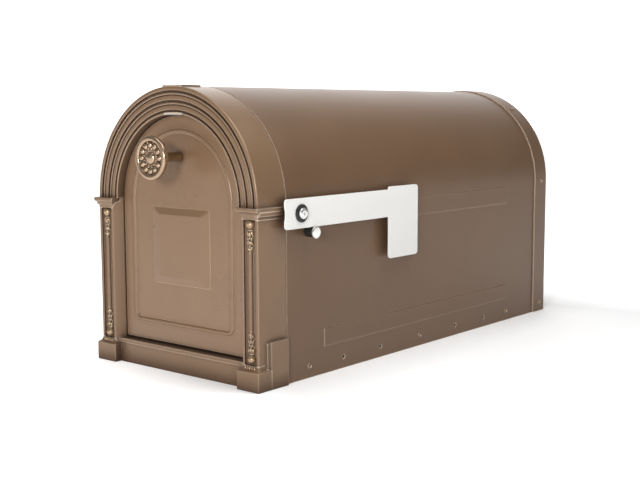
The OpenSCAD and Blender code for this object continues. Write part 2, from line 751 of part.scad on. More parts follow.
// Section of the rosette: radius against distance in front of the plinth face.
rosette_section = [
    [0, -rosette_back],
    [rosette_d / 2 - 3, -rosette_back],
    [rosette_d / 2, -rosette_back + 2.2],
    [rosette_d / 2, -rosette_front - 2],
    [rosette_d / 2 - 1.5, -rosette_front - 0.3],
    [rosette_d / 2 - rosette_lip, -rosette_front - 0.8],
    [rosette_d / 2 - rosette_lip - 1, rosette_face],
    [0, rosette_face]];

module at_knob() translate([0, 0, knob_z]) rotate([90, 0, 0]) children();

module knob_rosette() placed() color(brass) at_knob() difference() {
    union() {
        rotate_extrude($fn = fn_large) polygon(rosette_section);
        for (i = [0 : petals - 1]) rotate(i * 360 / petals)
            translate([petal_ring_r, 0, rosette_face - 0.2]) sphere(d = petal_d, $fn = fn_small);
    }
    translate([0, 0, -rosette_back - cut])
        cylinder(d = stem_d + 2 * knob_socket_gap, h = stem_socket + cut + 0.1, $fn = fn_round);
    translate([0, 0, rosette_face - dome_seat]) cylinder(d = dome_d, h = dome_h, $fn = fn_round);
}

module knob_dome() placed() color(brass) at_knob()
    translate([0, 0, rosette_face + 0.05 - dome_seat]) intersection() {
        cylinder(d = dome_d - 0.2, h = dome_h, $fn = fn_round);
        translate([0, 0, -4.6]) sphere(9, $fn = fn_round);
    }

module knob_washer() placed() color(steel) translate([0, 0, knob_z]) difference() {
    bar_y(12, door_back + 2.02, door_back + 3);
    bar_y(knob_screw_d + 0.4, door_back, door_back + 5);
}

module knob_screw() placed() color(steel) translate([0, 0, knob_z]) difference() {
    union() {
        bar_y(knob_screw_d - 0.24, door_y - 14, door_back + 3.1);
        bar_y(2 * knob_screw_d, door_back + 3.02, door_back + 5.6);
    }
    translate([-0.6, door_back + 4.4, -knob_screw_d - cut])
        cube([1.2, 2, 2 * (knob_screw_d + cut)]);
}

// ---- flag ---------------------------------------------------------------------------

// Outline of the flag about its pivot, X to the rear and Y up. Corners are rounded.
notch_r = 6;
module rounded_box(x0, z0, x1, z1, r) {
    translate([x0 + r, z0]) square([x1 - x0 - 2 * r, z1 - z0]);
    translate([x0, z0 + r]) square([x1 - x0, z1 - z0 - 2 * r]);
    for (x = [x0 + r, x1 - r], z = [z0 + r, z1 - r]) translate([x, z]) circle(r, $fn = fn_round);
}
module flag_shape() difference() {
    union() {
        rounded_box(-arm_tail, -arm_h / 2, arm_len + 2 * flag_corner, arm_h / 2, flag_corner);
        rounded_box(arm_len, -plate_down, arm_len + plate_w, plate_up, flag_corner);
    }
    // shallow hollow in the end of the tail
    translate([-arm_tail - notch_r * 0.8, 0]) circle(notch_r, $fn = fn_round);
    circle(d = bush_barrel_d + 0.1, $fn = fn_round);
}

module at_pivot() translate([0, pivot_y, pivot_z]) children();
module at_stop() translate([0, stop_y, stop_z]) children();

module flag_plate() placed() color(silver) at_pivot()
    translate([flag_in, 0, 0]) rotate([90, 0, 90]) linear_extrude(flag_t) flag_shape();

module flag_bushing() placed() color(black) at_pivot() difference() {
    union() {
        bar_x(bush_barrel_d, half_w + bush_gap, bush_front);
        bar_x(bushing_flange_d, flag_out + 0.02, bush_front);
        bar_x(bushing_flange_d - 2, half_w + bush_gap, flag_in - 0.02);
    }
    bar_x(pivot_bolt_d + 2 * pivot_fit, half_w, bush_front + cut);
}

module flag_bolt() placed() color(silver) at_pivot() difference() {
    union() {
        bar_x(pivot_bolt_d, shell_in - washer_t - spring_washer_t - nut_h - 1.5, bush_front + 0.4);
        bar_x(bolt_head_d, bush_front + 0.3, bush_front + 0.3 + bolt_head_h);
    }
    bar_x(3.2, bush_front + 1.4, bush_front + bolt_head_h + cut, 6);
}

module flag_washer() placed() color(steel) at_pivot() difference() {
    bar_x(pivot_bolt_d + 8, shell_in - washer_t - 0.02, shell_in - 0.02);
    bar_x(pivot_bolt_d + 0.3, shell_in - washer_t - cut, shell_in + cut);
}

// A split spring washer: a ring with one slit.
module flag_spring_washer() placed() color(steel) at_pivot() difference() {
    bar_x(pivot_bolt_d + 5, shell_in - washer_t - spring_washer_t, shell_in - washer_t - 0.04);
    bar_x(pivot_bolt_d + 0.3, shell_in - washer_t - spring_washer_t - cut, shell_in);
    translate([shell_in - washer_t - spring_washer_t - cut, -0.5, 0])
        cube([spring_washer_t + 2 * cut, 1, pivot_bolt_d + 2]);
}

module flag_nut() placed() color(steel) at_pivot() difference() {
    nut_x = shell_in - washer_t - spring_washer_t - nut_h - 0.02;
    bar_x(pivot_bolt_d + 5.5, nut_x, nut_x + nut_h, 6);
    bar_x(pivot_bolt_d + 0.04, nut_x - cut, nut_x + nut_h + cut);
}

module stop_sleeve() placed() color(black) at_stop() difference() {
    bar_x(stop_d, half_w + 0.02, sleeve_end);
    bar_x(stop_screw_d + 0.1, half_w - cut, sleeve_end + cut);
}

module stop_screw() placed() color(silver) at_stop() {
    bar_x(stop_screw_d, shell_in - 7, sleeve_end + 0.1);
    bar_x(stop_head_d, sleeve_end + 0.02, sleeve_end + stop_head_h);
}

module stop_nut() placed() color(steel) at_stop() difference() {
    bar_x(9.2, shell_in - 4.5, shell_in - 0.02, 6);
    bar_x(stop_screw_d + 0.04, shell_in - 6, shell_in + cut);
}

body_shell();
floor_pan();
rear_panel();
rear_rivets();
side_rivets();
floor_rivets();
front_frame();
frame_screws();
latch_catch();
catch_screws();
hinge_pins();
door_panel();
latch_tab();
latch_tab_screws();
knob_stem();
knob_rosette();
knob_dome();
knob_screw();
knob_washer();
flag_plate();
flag_bushing();
flag_bolt();
flag_washer();
flag_spring_washer();
flag_nut();
stop_sleeve();
stop_screw();
stop_nut();
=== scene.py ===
# %% [markdown]
# # An arched kerbside parcel box
# The real box is a folded steel body with a cast front frame, a drop-down door with a rosette knob, and a
# signal flag on its right-hand wall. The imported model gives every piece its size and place. This lesson
# models the pieces that show again, with rolled edges, mouldings and ornament, and gives each its finish.

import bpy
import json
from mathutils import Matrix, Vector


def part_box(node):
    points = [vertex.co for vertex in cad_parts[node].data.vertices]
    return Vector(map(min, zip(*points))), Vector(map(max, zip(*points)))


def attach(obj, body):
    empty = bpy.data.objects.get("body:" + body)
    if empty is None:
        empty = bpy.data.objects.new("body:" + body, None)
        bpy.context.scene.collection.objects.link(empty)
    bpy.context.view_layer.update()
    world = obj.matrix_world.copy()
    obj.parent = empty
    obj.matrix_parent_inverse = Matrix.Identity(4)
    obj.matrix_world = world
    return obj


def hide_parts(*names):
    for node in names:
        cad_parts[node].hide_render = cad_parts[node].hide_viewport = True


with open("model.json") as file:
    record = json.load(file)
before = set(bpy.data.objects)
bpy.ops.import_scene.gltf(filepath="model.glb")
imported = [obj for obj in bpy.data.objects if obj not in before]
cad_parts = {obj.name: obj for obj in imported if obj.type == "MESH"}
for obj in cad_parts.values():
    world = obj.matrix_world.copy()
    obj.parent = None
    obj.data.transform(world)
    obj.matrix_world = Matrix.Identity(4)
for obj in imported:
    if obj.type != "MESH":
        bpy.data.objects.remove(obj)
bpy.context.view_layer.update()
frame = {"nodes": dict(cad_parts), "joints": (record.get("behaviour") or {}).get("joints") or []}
print("nodes in the model:", len(frame["nodes"]))

# %% [markdown]
# A maker works in millimetres from three faces: the middle of the box, the front of its plinths and the foot
# of its walls. The model is in metres from the mounting seat, so one function turns the first into the
# second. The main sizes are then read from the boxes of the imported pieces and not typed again.

# %% Millimetres on the object
import json
import math

import bmesh
import bpy
from mathutils import Matrix, Vector

MM = 0.001
front_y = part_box("front_frame")[0].y
foot_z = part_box("front_frame")[0].z


def at(x, y, z):
    """A point in mm: to the right of the middle, behind the plinths' front and above the foot."""
    return Vector((x * MM, front_y + y * MM, foot_z + z * MM))


def in_mm(point):
    """The same point of the model, in mm on the object."""
    return Vector((point.x, point.y - front_y, point.z - foot_z)) / MM


def box_mm(node):
    """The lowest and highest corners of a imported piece, in mm on the object."""
    return [in_mm(corner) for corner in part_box(node)]


print("the frame reaches from", box_mm("front_frame")[0], "to", box_mm("front_frame")[1])

# %% Main sizes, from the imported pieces
EMBOSS = 0.8
PANEL_RAISE = 2.6

half_w = box_mm("body_shell")[1].x - EMBOSS
crown_z = box_mm("body_shell")[1].z
spring_z = crown_z - half_w
ledge_x, joint_y, _ = box_mm("front_frame")[1]
body_end, body_foot = box_mm("rear_panel")[1].y, box_mm("rear_panel")[0].z
door_r = box_mm("door_panel")[1].x
door_foot, door_top = box_mm("door_panel")[0].z, box_mm("door_panel")[1].z
door_face = box_mm("door_panel")[0].y + PANEL_RAISE
print(f"body {2 * half_w:.0f} wide, arch springs at {spring_z:.0f}, door face at {door_face:.1f}")

# %% [markdown]
# Most pieces start in one of two ways. A primitive is added at its size and place, or one vertex is drawn out
# by extrusion along an outline, the way a pencil follows a template. Both leave the origin at the model's
# own, because the finished pieces are all fixed in one frame.

# %% Starting a piece
def start(name, add, **settings):
    """Adds a primitive at its size and place, and puts the origin back to the model's."""
    if bpy.context.mode != "OBJECT":
        bpy.ops.object.mode_set(mode="OBJECT")
    bpy.ops.object.select_all(action="DESELECT")
    add(**settings)
    piece = bpy.context.object
    piece.name = piece.data.name = name
    bpy.ops.object.transform_apply(location=True, rotation=True, scale=True)
    return piece


def draw(name, points):
    """Draws a line of edges through points in mm, by extruding one vertex from each to the next."""
    piece = start(name, bpy.ops.mesh.primitive_plane_add, size=MM, location=at(*points[0]))
    bpy.ops.object.mode_set(mode="EDIT")
    bpy.ops.mesh.select_mode(type="VERT")
    bpy.ops.mesh.select_all(action="SELECT")
    bpy.ops.mesh.merge(type="CENTER")
    for here, there in zip(points, points[1:]):
        push(*[b - a for a, b in zip(here, there)])
    return piece


def push(x, y, z):
    """Extrudes what is selected by a distance in mm."""
    bpy.ops.mesh.extrude_region_move(TRANSFORM_OT_translate={"value": Vector((x, y, z)) * MM})


def fill():
    """Closes the drawn line with a face."""
    bpy.ops.mesh.select_all(action="SELECT")
    bpy.ops.mesh.edge_face_add()


def solid(name, outline, travel):
    """A solid whose flat outline is drawn, filled and pushed out."""
    piece = draw(name, outline)
    fill()
    push(*travel)
    return piece


# %% [markdown]
# Cast and folded metal has no sharp corner: the mould or the die leaves a small radius, and that radius is
# what catches a thin line of light along every edge. Corners in an outline are turned into short curves as
# they are drawn. The rims that an extrusion leaves are rolled afterwards with a Bevel modifier.

# %% Soft outlines
def soft(corners, radius, steps=4):
    """A closed outline whose corners (x, y) or (x, y, own radius) are turned into short curves."""
    outline = []
    for i, corner in enumerate(corners):
        here = Vector(corner[:2])
        back = Vector(corners[i - 1][:2]) - here
        ahead = Vector(corners[(i + 1) % len(corners)][:2]) - here
        wish = corner[2] if len(corner) > 2 else radius
        reach = min(wish, 0.49 * back.length, 0.49 * ahead.length)
        if reach < 0.05:
            outline.append(tuple(here))
            continue
        a, b = here + back.normalized() * reach, here + ahead.normalized() * reach
        for step in range(steps + 1):
            t = step / steps
            outline.append(tuple(a * (1 - t) ** 2 + here * 2 * t * (1 - t) + b * t * t))
    return outline


def arc(x, y, radius, start_deg, end_deg, steps):
    """Points along an arc, both ends included."""
    angles = [math.radians(start_deg + (end_deg - start_deg) * i / steps) for i in range(steps + 1)]
    return [(x + radius * math.cos(a), y + radius * math.sin(a)) for a in angles]


def arch(radius, foot, steps=48, corner=0.0):
    """The front view of an arch: two straight sides and a half circle, with rounded lower corners."""
    if corner:
        lower_right = arc(radius - corner, foot + corner, corner, -90, 0, 6)
        lower_left = arc(corner - radius, foot + corner, corner, 180, 270, 6)
    else:
        lower_right, lower_left = [(radius, foot)], [(-radius, foot)]
    return lower_right + arc(0, spring_z, radius, 0, 180, steps) + lower_left


# %% [markdown]
# In edit mode an operator acts on what is selected. With no mouse, faces and edges are picked by their place:
# a small test says which ones are wanted, in mm on the object.

# %% Picking faces and edges
def pick(kind, test):
    """Selects the faces, edges or vertices whose middle (in mm) and normal pass the test."""
    bpy.ops.mesh.select_mode(type=kind)
    mesh = bmesh.from_edit_mesh(bpy.context.object.data)
    for items in (mesh.verts, mesh.edges, mesh.faces):
        for item in items:
            item.select = False
    chosen = 0
    for item in {"VERT": mesh.verts, "EDGE": mesh.edges, "FACE": mesh.faces}[kind]:
        corners = [item.co] if kind == "VERT" else [v.co for v in item.verts]
        middle = in_mm(sum(corners, Vector()) / len(corners))
        if test(middle, getattr(item, "normal", None)):
            item.select_set(True)
            chosen += 1
    mesh.select_flush_mode()
    bmesh.update_edit_mesh(bpy.context.object.data)
    return chosen


# %% [markdown]
# Every piece is finished alike: doubled points are merged, the faces are turned outwards, rims are rolled and
# the shading is smoothed. Weighted normals keep large flats flat, so only the rolled edges catch the light.

# %% Finishing a piece
def activate(piece):
    """Selects one piece alone and makes it the active one."""
    bpy.ops.object.select_all(action="DESELECT")
    piece.select_set(True)
    bpy.context.view_layer.objects.active = piece


def modify(piece, kind, **settings):
    """Adds a modifier with its settings and applies it."""
    bpy.ops.object.modifier_add(type=kind)
    modifier = piece.modifiers[-1]
    for name, value in settings.items():
        setattr(modifier, name, value)
    bpy.ops.object.modifier_apply(modifier=modifier.name)


def cut(piece, cutter):
    """Cuts a cutter out of a piece and takes the cutter away."""
    activate(piece)
    modify(piece, "BOOLEAN", object=cutter, operation="DIFFERENCE", solver="EXACT")
    bpy.data.objects.remove(cutter)


def clean(piece):
    """Merges doubled points and turns all faces outwards."""
    if bpy.context.mode != "OBJECT":
        bpy.ops.object.mode_set(mode="OBJECT")
    activate(piece)
    bpy.ops.object.mode_set(mode="EDIT")
    bpy.ops.mesh.select_all(action="SELECT")
    bpy.ops.mesh.remove_doubles(threshold=0.01 * MM)
    bpy.ops.mesh.normals_make_consistent(inside=False)
    bpy.ops.object.mode_set(mode="OBJECT")


def spin(piece, steps, angle, centre, axis):
    """Spins the drawn line round an axis and cleans the result."""
    bpy.ops.mesh.select_all(action="SELECT")
    bpy.ops.mesh.spin(steps=steps, angle=angle, center=centre, axis=axis)
    clean(piece)
    return piece


def roll_edges(piece, width, segments=2, angle=30):
    """Rolls every edge sharper than the angle to a small radius in mm."""
    clean(piece)
    modify(piece, "BEVEL", width=width * MM, segments=segments, limit_method="ANGLE",
           angle_limit=math.radians(angle), use_clamp_overlap=True)


def smooth(piece, angle=40):
    """Smooths the shading below an angle and keeps large flats flat."""
    activate(piece)
    bpy.ops.object.shade_smooth_by_angle(angle=math.radians(angle))
    modify(piece, "WEIGHTED_NORMAL", keep_sharp=True, weight=50)


def copy_of(piece, name, matrix):
    """A copy with its own mesh, moved by a matrix in metres and turned right side out."""
    twin = piece.copy()
    twin.data = piece.data.copy()
    twin.name = twin.data.name = name
    bpy.context.scene.collection.objects.link(twin)
    twin.data.transform(matrix)
    if matrix.determinant() < 0:
        twin.data.flip_normals()
    return twin


MIRROR = Matrix.Diagonal((-1, 1, 1, 1))


def join(name, pieces):
    """Makes one object of several."""
    bpy.ops.object.select_all(action="DESELECT")
    for piece in pieces:
        piece.select_set(True)
    bpy.context.view_layer.objects.active = pieces[0]
    bpy.ops.object.join()
    pieces[0].name = pieces[0].data.name = name
    return pieces[0]


def fit(piece, body, material, slot, *nodes):
    """Gives a finished piece its finish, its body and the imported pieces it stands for."""
    piece.data.materials.clear()
    piece.data.materials.append(material)
    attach(piece, body)
    if nodes:
        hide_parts(*nodes)
    print(f"{piece.name}: {len(piece.data.polygons)} faces, rides on {body}")
    return piece


# %% [markdown]
# # The studio
# The box stands on a plain pale floor that runs into a white surround. A large soft light in front fills the
# door, and a small one 25 degrees to its right throws the knob's shadow. One above the right-hand wall lifts
# that wall and the flag, and one overhead washes the top of the arch. The camera stands to the right of the
# door, a little above the box.

# %% Floor
floor = start("studio_floor", bpy.ops.mesh.primitive_plane_add, size=24, location=(0, 0, foot_z))
bpy.ops.object.mode_set(mode="EDIT")
bpy.ops.mesh.subdivide(number_cuts=3)
bpy.ops.object.mode_set(mode="OBJECT")

# %% Camera
CAMERA_AT = (805.1, -731.2, 268.0)
CAMERA_TURN = 39.77
CAMERA_DROP = 6.84
CAMERA_ROLL = -0.18

bpy.ops.object.camera_add()
camera = bpy.context.object
camera.data.lens = 60.46
camera.data.clip_start = 0.01
camera.matrix_world = (
    Matrix.Translation(at(*CAMERA_AT))
    @ Matrix.Rotation(math.radians(CAMERA_TURN), 4, "Z")
    @ Matrix.Rotation(math.radians(90 - CAMERA_DROP), 4, "X")
    @ Matrix.Rotation(math.radians(CAMERA_ROLL), 4, "Z")
)
bpy.context.scene.camera = camera
bpy.context.scene.view_settings.view_transform = "Standard"

# %% Lights
def softbox(name, turn, rise, distance, width, height, power):
    """A soft rectangular light round the box: turned from the front, raised above the floor, in degrees."""
    turn, rise = math.radians(turn), math.radians(rise)
    way = Vector((math.sin(turn) * math.cos(rise), -math.cos(turn) * math.cos(rise), math.sin(rise)))
    aim = at(0, 200, 150)
    bpy.ops.object.light_add(type="AREA", location=aim + way * distance)
    light = bpy.context.object
    light.name = name
    light.data.shape = "RECTANGLE"
    light.data.size, light.data.size_y = width, height
    light.data.energy = power
    light.rotation_euler = way.to_track_quat("Z", "Y").to_euler()


# Degrees to the right and up, distance, width and height in metres, and watts.
softbox("front_softbox", 3, 10, 2.2, 2.0, 1.4, 4.6)
softbox("key_softbox", 25, 11, 1.7, 0.24, 0.24, 15.0)
softbox("side_softbox", 92, 60, 0.8, 0.4, 0.4, 4.4)
softbox("overhead_softbox", 0, 80, 2.0, 1.0, 1.0, 14)

# %% [markdown]
# # Finishes
# Each finish is a small tree of nodes on the piece's own coordinates, so a pattern stays on the metal when
# the door or the flag moves. One helper adds a node, fills its sockets and links them.

# %% Colours and nodes
def linear(hexa):
    """An sRGB hex colour as the linear colour that the shader wants."""
    parts = [int(hexa[i : i + 2], 16) / 255 for i in (0, 2, 4)]
    return [c / 12.92 if c <= 0.04045 else ((c + 0.055) / 1.055) ** 2.4 for c in parts] + [1]


def add_node(tree, kind, inputs=(), **settings):
    """Adds a node, sets its own settings, and fills or links its inputs by name or number."""
    node = tree.nodes.new(kind)
    for name, value in settings.items():
        setattr(node, name, value)
    for name, value in dict(inputs).items():
        if isinstance(value, bpy.types.NodeSocket):
            tree.links.new(value, node.inputs[name])
        else:
            node.inputs[name].default_value = value
    return node


def blank(name):
    """A material with only its output, and its tree."""
    material = bpy.data.materials.new(name)
    material.use_nodes = True
    material.node_tree.nodes.clear()
    return material, material.node_tree


def end_tree(tree, inputs):
    """The shader with its inputs, linked to the material's output."""
    shader = add_node(tree, "ShaderNodeBsdfPrincipled", inputs)
    add_node(tree, "ShaderNodeOutputMaterial", {"Surface": shader.outputs[0]})


def per_metre(size_mm):
    """The scale of a noise whose features are this many millimetres across."""
    return 1 / (size_mm * MM)


# %% [markdown]
# The surround is white behind the box and dim everywhere else, as in a studio with one lit backdrop. The
# white gives the bare outline and the pale wash along the crest, and the dim side keeps the walls deep.

# %% Surround
BACKDROP_WAY = (-0.64, 0.77, 0.0)
BACKDROP_EDGE, BACKDROP_FULL = 0.6, 0.9
DIM_SIDE, LIT_SIDE = 0.14, 1.9

world = bpy.data.worlds.new("studio_surround")
world.use_nodes = True
bpy.context.scene.world = world
sky = world.node_tree
way = add_node(sky, "ShaderNodeTexCoord").outputs["Generated"]
facing = add_node(sky, "ShaderNodeVectorMath", {0: way, 1: BACKDROP_WAY}, operation="DOT_PRODUCT")
strength = add_node(sky, "ShaderNodeMapRange", {
    "Value": facing.outputs["Value"], "From Min": BACKDROP_EDGE, "From Max": BACKDROP_FULL,
    "To Min": DIM_SIDE, "To Max": LIT_SIDE})
backdrop = sky.nodes["Background"]
backdrop.inputs["Color"].default_value = (1, 1, 1, 1)
sky.links.new(strength.outputs[0], backdrop.inputs["Strength"])
print("surround strength:", DIM_SIDE, "to", LIT_SIDE)

# %% [markdown]
# The body and the castings are powder-coated in a bronze that holds fine metallic flakes. Baked powder flows
# into a satin skin with a faint orange peel some 2 mm across, and its colour drifts a little where the coat
# is thicker. The flakes are under 0.1 mm, so they are drawn 0.6 mm across to show at all.

# %% Bronze powder coat
# Painted highlight along sharp edges: how far it reaches, where it starts and is full, and its share.
EDGE_R = 1.1
EDGE_START, EDGE_FULL, EDGE_SHARE = 0.997, 0.94, 0.8
# Painted shade in the recesses: where it is darkest and where it ends, its colour and its roughness.
GROOVE_DARK, GROOVE_OPEN = 0.35, 1.0
PAINTED_SHADE, PAINTED_SHADE_ROUGH = "3B2310", 0.9


def bronze_coat(name, light, dark, roughness, metallic=0.2, recess_mm=0.0, edge="E4D2BE"):
    """Baked bronze paint: two drifting tones, a painted highlight on edges, optional painted shade in
    recesses.
    """
    material, tree = blank(name)
    place = add_node(tree, "ShaderNodeTexCoord").outputs["Object"]
    drift = add_node(tree, "ShaderNodeTexNoise", {"Vector": place, "Scale": per_metre(60), "Detail": 3})
    flakes = add_node(tree, "ShaderNodeTexNoise", {"Vector": place, "Scale": per_metre(0.6), "Detail": 1})
    share = add_node(tree, "ShaderNodeMath", {
        0: drift.outputs["Fac"], 1: flakes.outputs["Fac"], 2: 0.12}, operation="MULTIPLY_ADD")
    coat = add_node(tree, "ShaderNodeMix", {
        0: share.outputs[0], 6: linear(dark), 7: linear(light)}, data_type="RGBA")
    # Painted highlight: every sharp edge is painted lighter, in place of the thin line of light along it.
    rolled = add_node(tree, "ShaderNodeBevel", {"Radius": EDGE_R * MM}, samples=6)
    true = add_node(tree, "ShaderNodeNewGeometry")
    same = add_node(tree, "ShaderNodeVectorMath", {
        0: rolled.outputs[0], 1: true.outputs["Normal"]}, operation="DOT_PRODUCT")
    wear_and_painted_highlight = add_node(tree, "ShaderNodeMapRange", {
        "Value": same.outputs["Value"], "From Min": EDGE_START, "From Max": EDGE_FULL, "To Max": EDGE_SHARE})
    tone = add_node(tree, "ShaderNodeMix", {
        0: wear_and_painted_highlight.outputs[0], 6: coat.outputs[2], 7: linear(edge)}, data_type="RGBA").outputs[2]
    gloss = add_node(tree, "ShaderNodeMapRange", {
        "Value": drift.outputs["Fac"], "To Min": roughness - 0.04, "To Max": roughness + 0.05}).outputs[0]
    if recess_mm:
        # Painted shade: the recesses are painted dark and matt, and the open parts keep the coat.
        open_sky = add_node(tree, "ShaderNodeAmbientOcclusion", {"Distance": recess_mm * MM}, samples=8)
        bare = add_node(tree, "ShaderNodeMapRange", {
            "Value": open_sky.outputs["AO"], "From Min": GROOVE_DARK, "From Max": GROOVE_OPEN}).outputs[0]
        tone = add_node(tree, "ShaderNodeMix", {0: bare, 6: linear(PAINTED_SHADE), 7: tone},
                        data_type="RGBA").outputs[2]
        gloss = add_node(tree, "ShaderNodeMix", {0: bare, 2: PAINTED_SHADE_ROUGH, 3: gloss},
                         data_type="FLOAT").outputs[0]
    peel = add_node(tree, "ShaderNodeTexNoise", {"Vector": place, "Scale": per_metre(2.2), "Detail": 2})
    bump = add_node(tree, "ShaderNodeBump", {
        "Height": peel.outputs["Fac"], "Strength": 0.05, "Distance": 0.1 * MM})
    end_tree(tree, {"Base Color": tone, "Metallic": metallic, "Roughness": gloss,
                    "Normal": bump.outputs[0], "IOR": 1.5})
    return material


# Painted shade darkens the castings' deep mouldings, and darkens the door only along its rib.
body_coat = bronze_coat("bronze_powder_coat", "755A42", "604834", 0.38)
cast_coat = bronze_coat("bronze_cast_paint", "866B51", "6F5640", 0.30, recess_mm=18.0)
# The door's edges get a softer painted highlight.
door_coat = bronze_coat("bronze_door_paint", "8B6F55", "735943", 0.28, recess_mm=6.0, edge="C8AD90")
# The sprays get a lighter copy of the cast paint: partly rubbed paint, partly painted highlight.
spray_coat = bronze_coat("rubbed_and_highlit_bronze_paint", "B0977A", "967C60", 0.2, metallic=0.5, recess_mm=2.0)
rivet_coat = bronze_coat("bronze_rivet_paint", "84694F", "5F4935", 0.32)
print("bronze coats:", sum(material.name.startswith("bronze") for material in bpy.data.materials))

# %% [markdown]
# The knob is cast in zinc, plated and toned to old brass. The crests are rubbed bright and the tone stays
# dark between the beads, which is what makes the rosette sparkle. The stem behind it gets a darker copy.

# %% Antique brass
def antique_brass(name, bare):
    """Plating rubbed bright on the crests and toned dark in the recesses."""
    material, tree = blank(name)
    place = add_node(tree, "ShaderNodeTexCoord").outputs["Object"]
    rub = add_node(tree, "ShaderNodeTexNoise", {"Vector": place, "Scale": per_metre(3), "Detail": 3})
    open_sky = add_node(tree, "ShaderNodeAmbientOcclusion", {"Distance": 2.0 * MM}, samples=8)
    wear_and_painted_highlight = add_node(tree, "ShaderNodeMapRange", {
        "Value": open_sky.outputs["AO"], "From Min": 0.3, "From Max": 0.85})
    tone = add_node(tree, "ShaderNodeMix", {
        0: wear_and_painted_highlight.outputs[0], 6: linear("382617"), 7: linear(bare)}, data_type="RGBA")
    sheen = add_node(tree, "ShaderNodeMapRange", {
        "Value": rub.outputs["Fac"], "To Min": 0.16, "To Max": 0.26})
    end_tree(tree, {"Base Color": tone.outputs[2], "Metallic": 0.8, "Roughness": sheen.outputs[0]})
    return material


brass = antique_brass("antique_brass", "A28A73")
dark_brass = antique_brass("dark_antique_brass", "8C765B")
print("brass tones:", brass.name, dark_brass.name)

# %% [markdown]
# The flag is die-cut aluminium with a flat light silver paint. The hardware is zinc-plated steel, black nylon
# and rubber, and the floor pan is bare galvanised sheet, whose zinc freezes in feathery grains (spangle)
# some 8 mm across.

# %% Paint, plating, nylon and zinc
def plain_finish(name, light, dark, grain_mm, metallic, roughness, spread=0.06):
    """A finish that drifts between two tones in grains of a real size."""
    material, tree = blank(name)
    place = add_node(tree, "ShaderNodeTexCoord").outputs["Object"]
    grain = add_node(tree, "ShaderNodeTexNoise", {
        "Vector": place, "Scale": per_metre(grain_mm), "Detail": 4}).outputs["Fac"]
    tone = add_node(tree, "ShaderNodeMix", {0: grain, 6: linear(dark), 7: linear(light)}, data_type="RGBA")
    sheen = add_node(tree, "ShaderNodeMapRange", {
        "Value": grain, "To Min": roughness - spread, "To Max": roughness + spread})
    bump = add_node(tree, "ShaderNodeBump", {"Height": grain, "Strength": 0.04, "Distance": 0.1 * MM})
    end_tree(tree, {"Base Color": tone.outputs[2], "Metallic": metallic, "Roughness": sheen.outputs[0],
                    "Normal": bump.outputs[0]})
    return material


def spangle(name):
    """Galvanised sheet: each grain of zinc has its own tone and gloss."""
    material, tree = blank(name)
    place = add_node(tree, "ShaderNodeTexCoord").outputs["Object"]
    grain = add_node(tree, "ShaderNodeTexVoronoi", {"Vector": place, "Scale": per_metre(8)}).outputs["Color"]
    tone = add_node(tree, "ShaderNodeMix", {
        0: grain, 6: linear("8E9396"), 7: linear("C6CACB")}, data_type="RGBA")
    sheen = add_node(tree, "ShaderNodeMapRange", {"Value": grain, "To Min": 0.3, "To Max": 0.5})
    end_tree(tree, {"Base Color": tone.outputs[2], "Metallic": 0.6, "Roughness": sheen.outputs[0]})
    return material


silver = plain_finish("silver_flag_paint", "DEDDDA", "D2D1CE", 1.5, 0.0, 0.42)
plated = plain_finish("zinc_plated_steel", "C4C6C6", "A8ABAD", 2.0, 0.9, 0.34)
spring_steel = plain_finish("bright_spring_steel", "C4C1BB", "ADAAA4", 1.0, 0.8, 0.3)
bright = plain_finish("bright_nickel", "F0EFEC", "E0DEDA", 1.0, 0.75, 0.2)
nylon = plain_finish("black_nylon", "1B1B1D", "121213", 0.8, 0.0, 0.4)
rubber = plain_finish("black_rubber", "171717", "0E0E0F", 0.8, 0.0, 0.55)
galvanised = spangle("galvanised_sheet")

# %% [markdown]
# The lights fall off over the floor, which would turn grey further out. There it glows a little and stays as
# white as the surround. Under and beside the box it has no glow, so the mounting holes stay dark and the
# walls are not lit from below.

# %% Floor finish
GLOW_FREE_AT = at(220, 320, 0)
GLOW_START, GLOW_FULL, GLOW = 0.3, 0.55, 0.75

pale = plain_finish("pale_studio_floor", "FAFAFA", "F6F6F6", 200, 0.0, 0.7)
sheet = pale.node_tree
here = add_node(sheet, "ShaderNodeTexCoord").outputs["Object"]
away = add_node(sheet, "ShaderNodeVectorMath", {0: here, 1: GLOW_FREE_AT}, operation="DISTANCE")
glow = add_node(sheet, "ShaderNodeMapRange", {
    "Value": away.outputs["Value"], "From Min": GLOW_START, "From Max": GLOW_FULL, "To Max": GLOW})
surface = sheet.nodes["Principled BSDF"]
surface.inputs["Emission Color"].default_value = (1, 1, 1, 1)
sheet.links.new(glow.outputs[0], surface.inputs["Emission Strength"])
floor.data.materials.append(pale)
print("materials:", len(bpy.data.materials))

# %% [markdown]
# # Folded steel body
# The body is one sheet, 1 mm thick, rolled over the top and turned in at the front. Long rectangles are
# pressed out of both walls to stiffen them. The wall is drawn as a line of edges and pushed back to its
# length, cut along the borders of the pressings, and given its thickness last.

# %% Sheet and front flange
SHEET_T = 1.0
JOINT_GAP = 0.8
FLANGE_W = 16
body_front = joint_y + JOINT_GAP
sheet_end = box_mm("body_shell")[1].y

body = draw("arched_body", [(x, body_front, z) for x, z in arch(half_w, body_foot, steps=64)])
bpy.ops.mesh.select_all(action="SELECT")
push(0, sheet_end - body_front, 0)
pick("EDGE", lambda p, n: abs(p.y - body_front) < 0.01)
push(0, 0, 0)
shrink = 1 - FLANGE_W / half_w
bpy.ops.transform.resize(value=(shrink, 1, shrink), center_override=at(0, body_front, spring_z))
pick("VERT", lambda p, n: p.z < 40 and abs(p.x) < half_w - 1 and p.y < body_front + 1)
bpy.ops.transform.resize(value=(1, 1, 0), center_override=at(0, 0, body_foot))

# %% [markdown]
# A pressing rises out of the sheet over a curve about 2 mm wide. Each rectangle is cut free along its borders
# with bisect, then inset four times, each inset a little deeper than flat, which draws that curve.

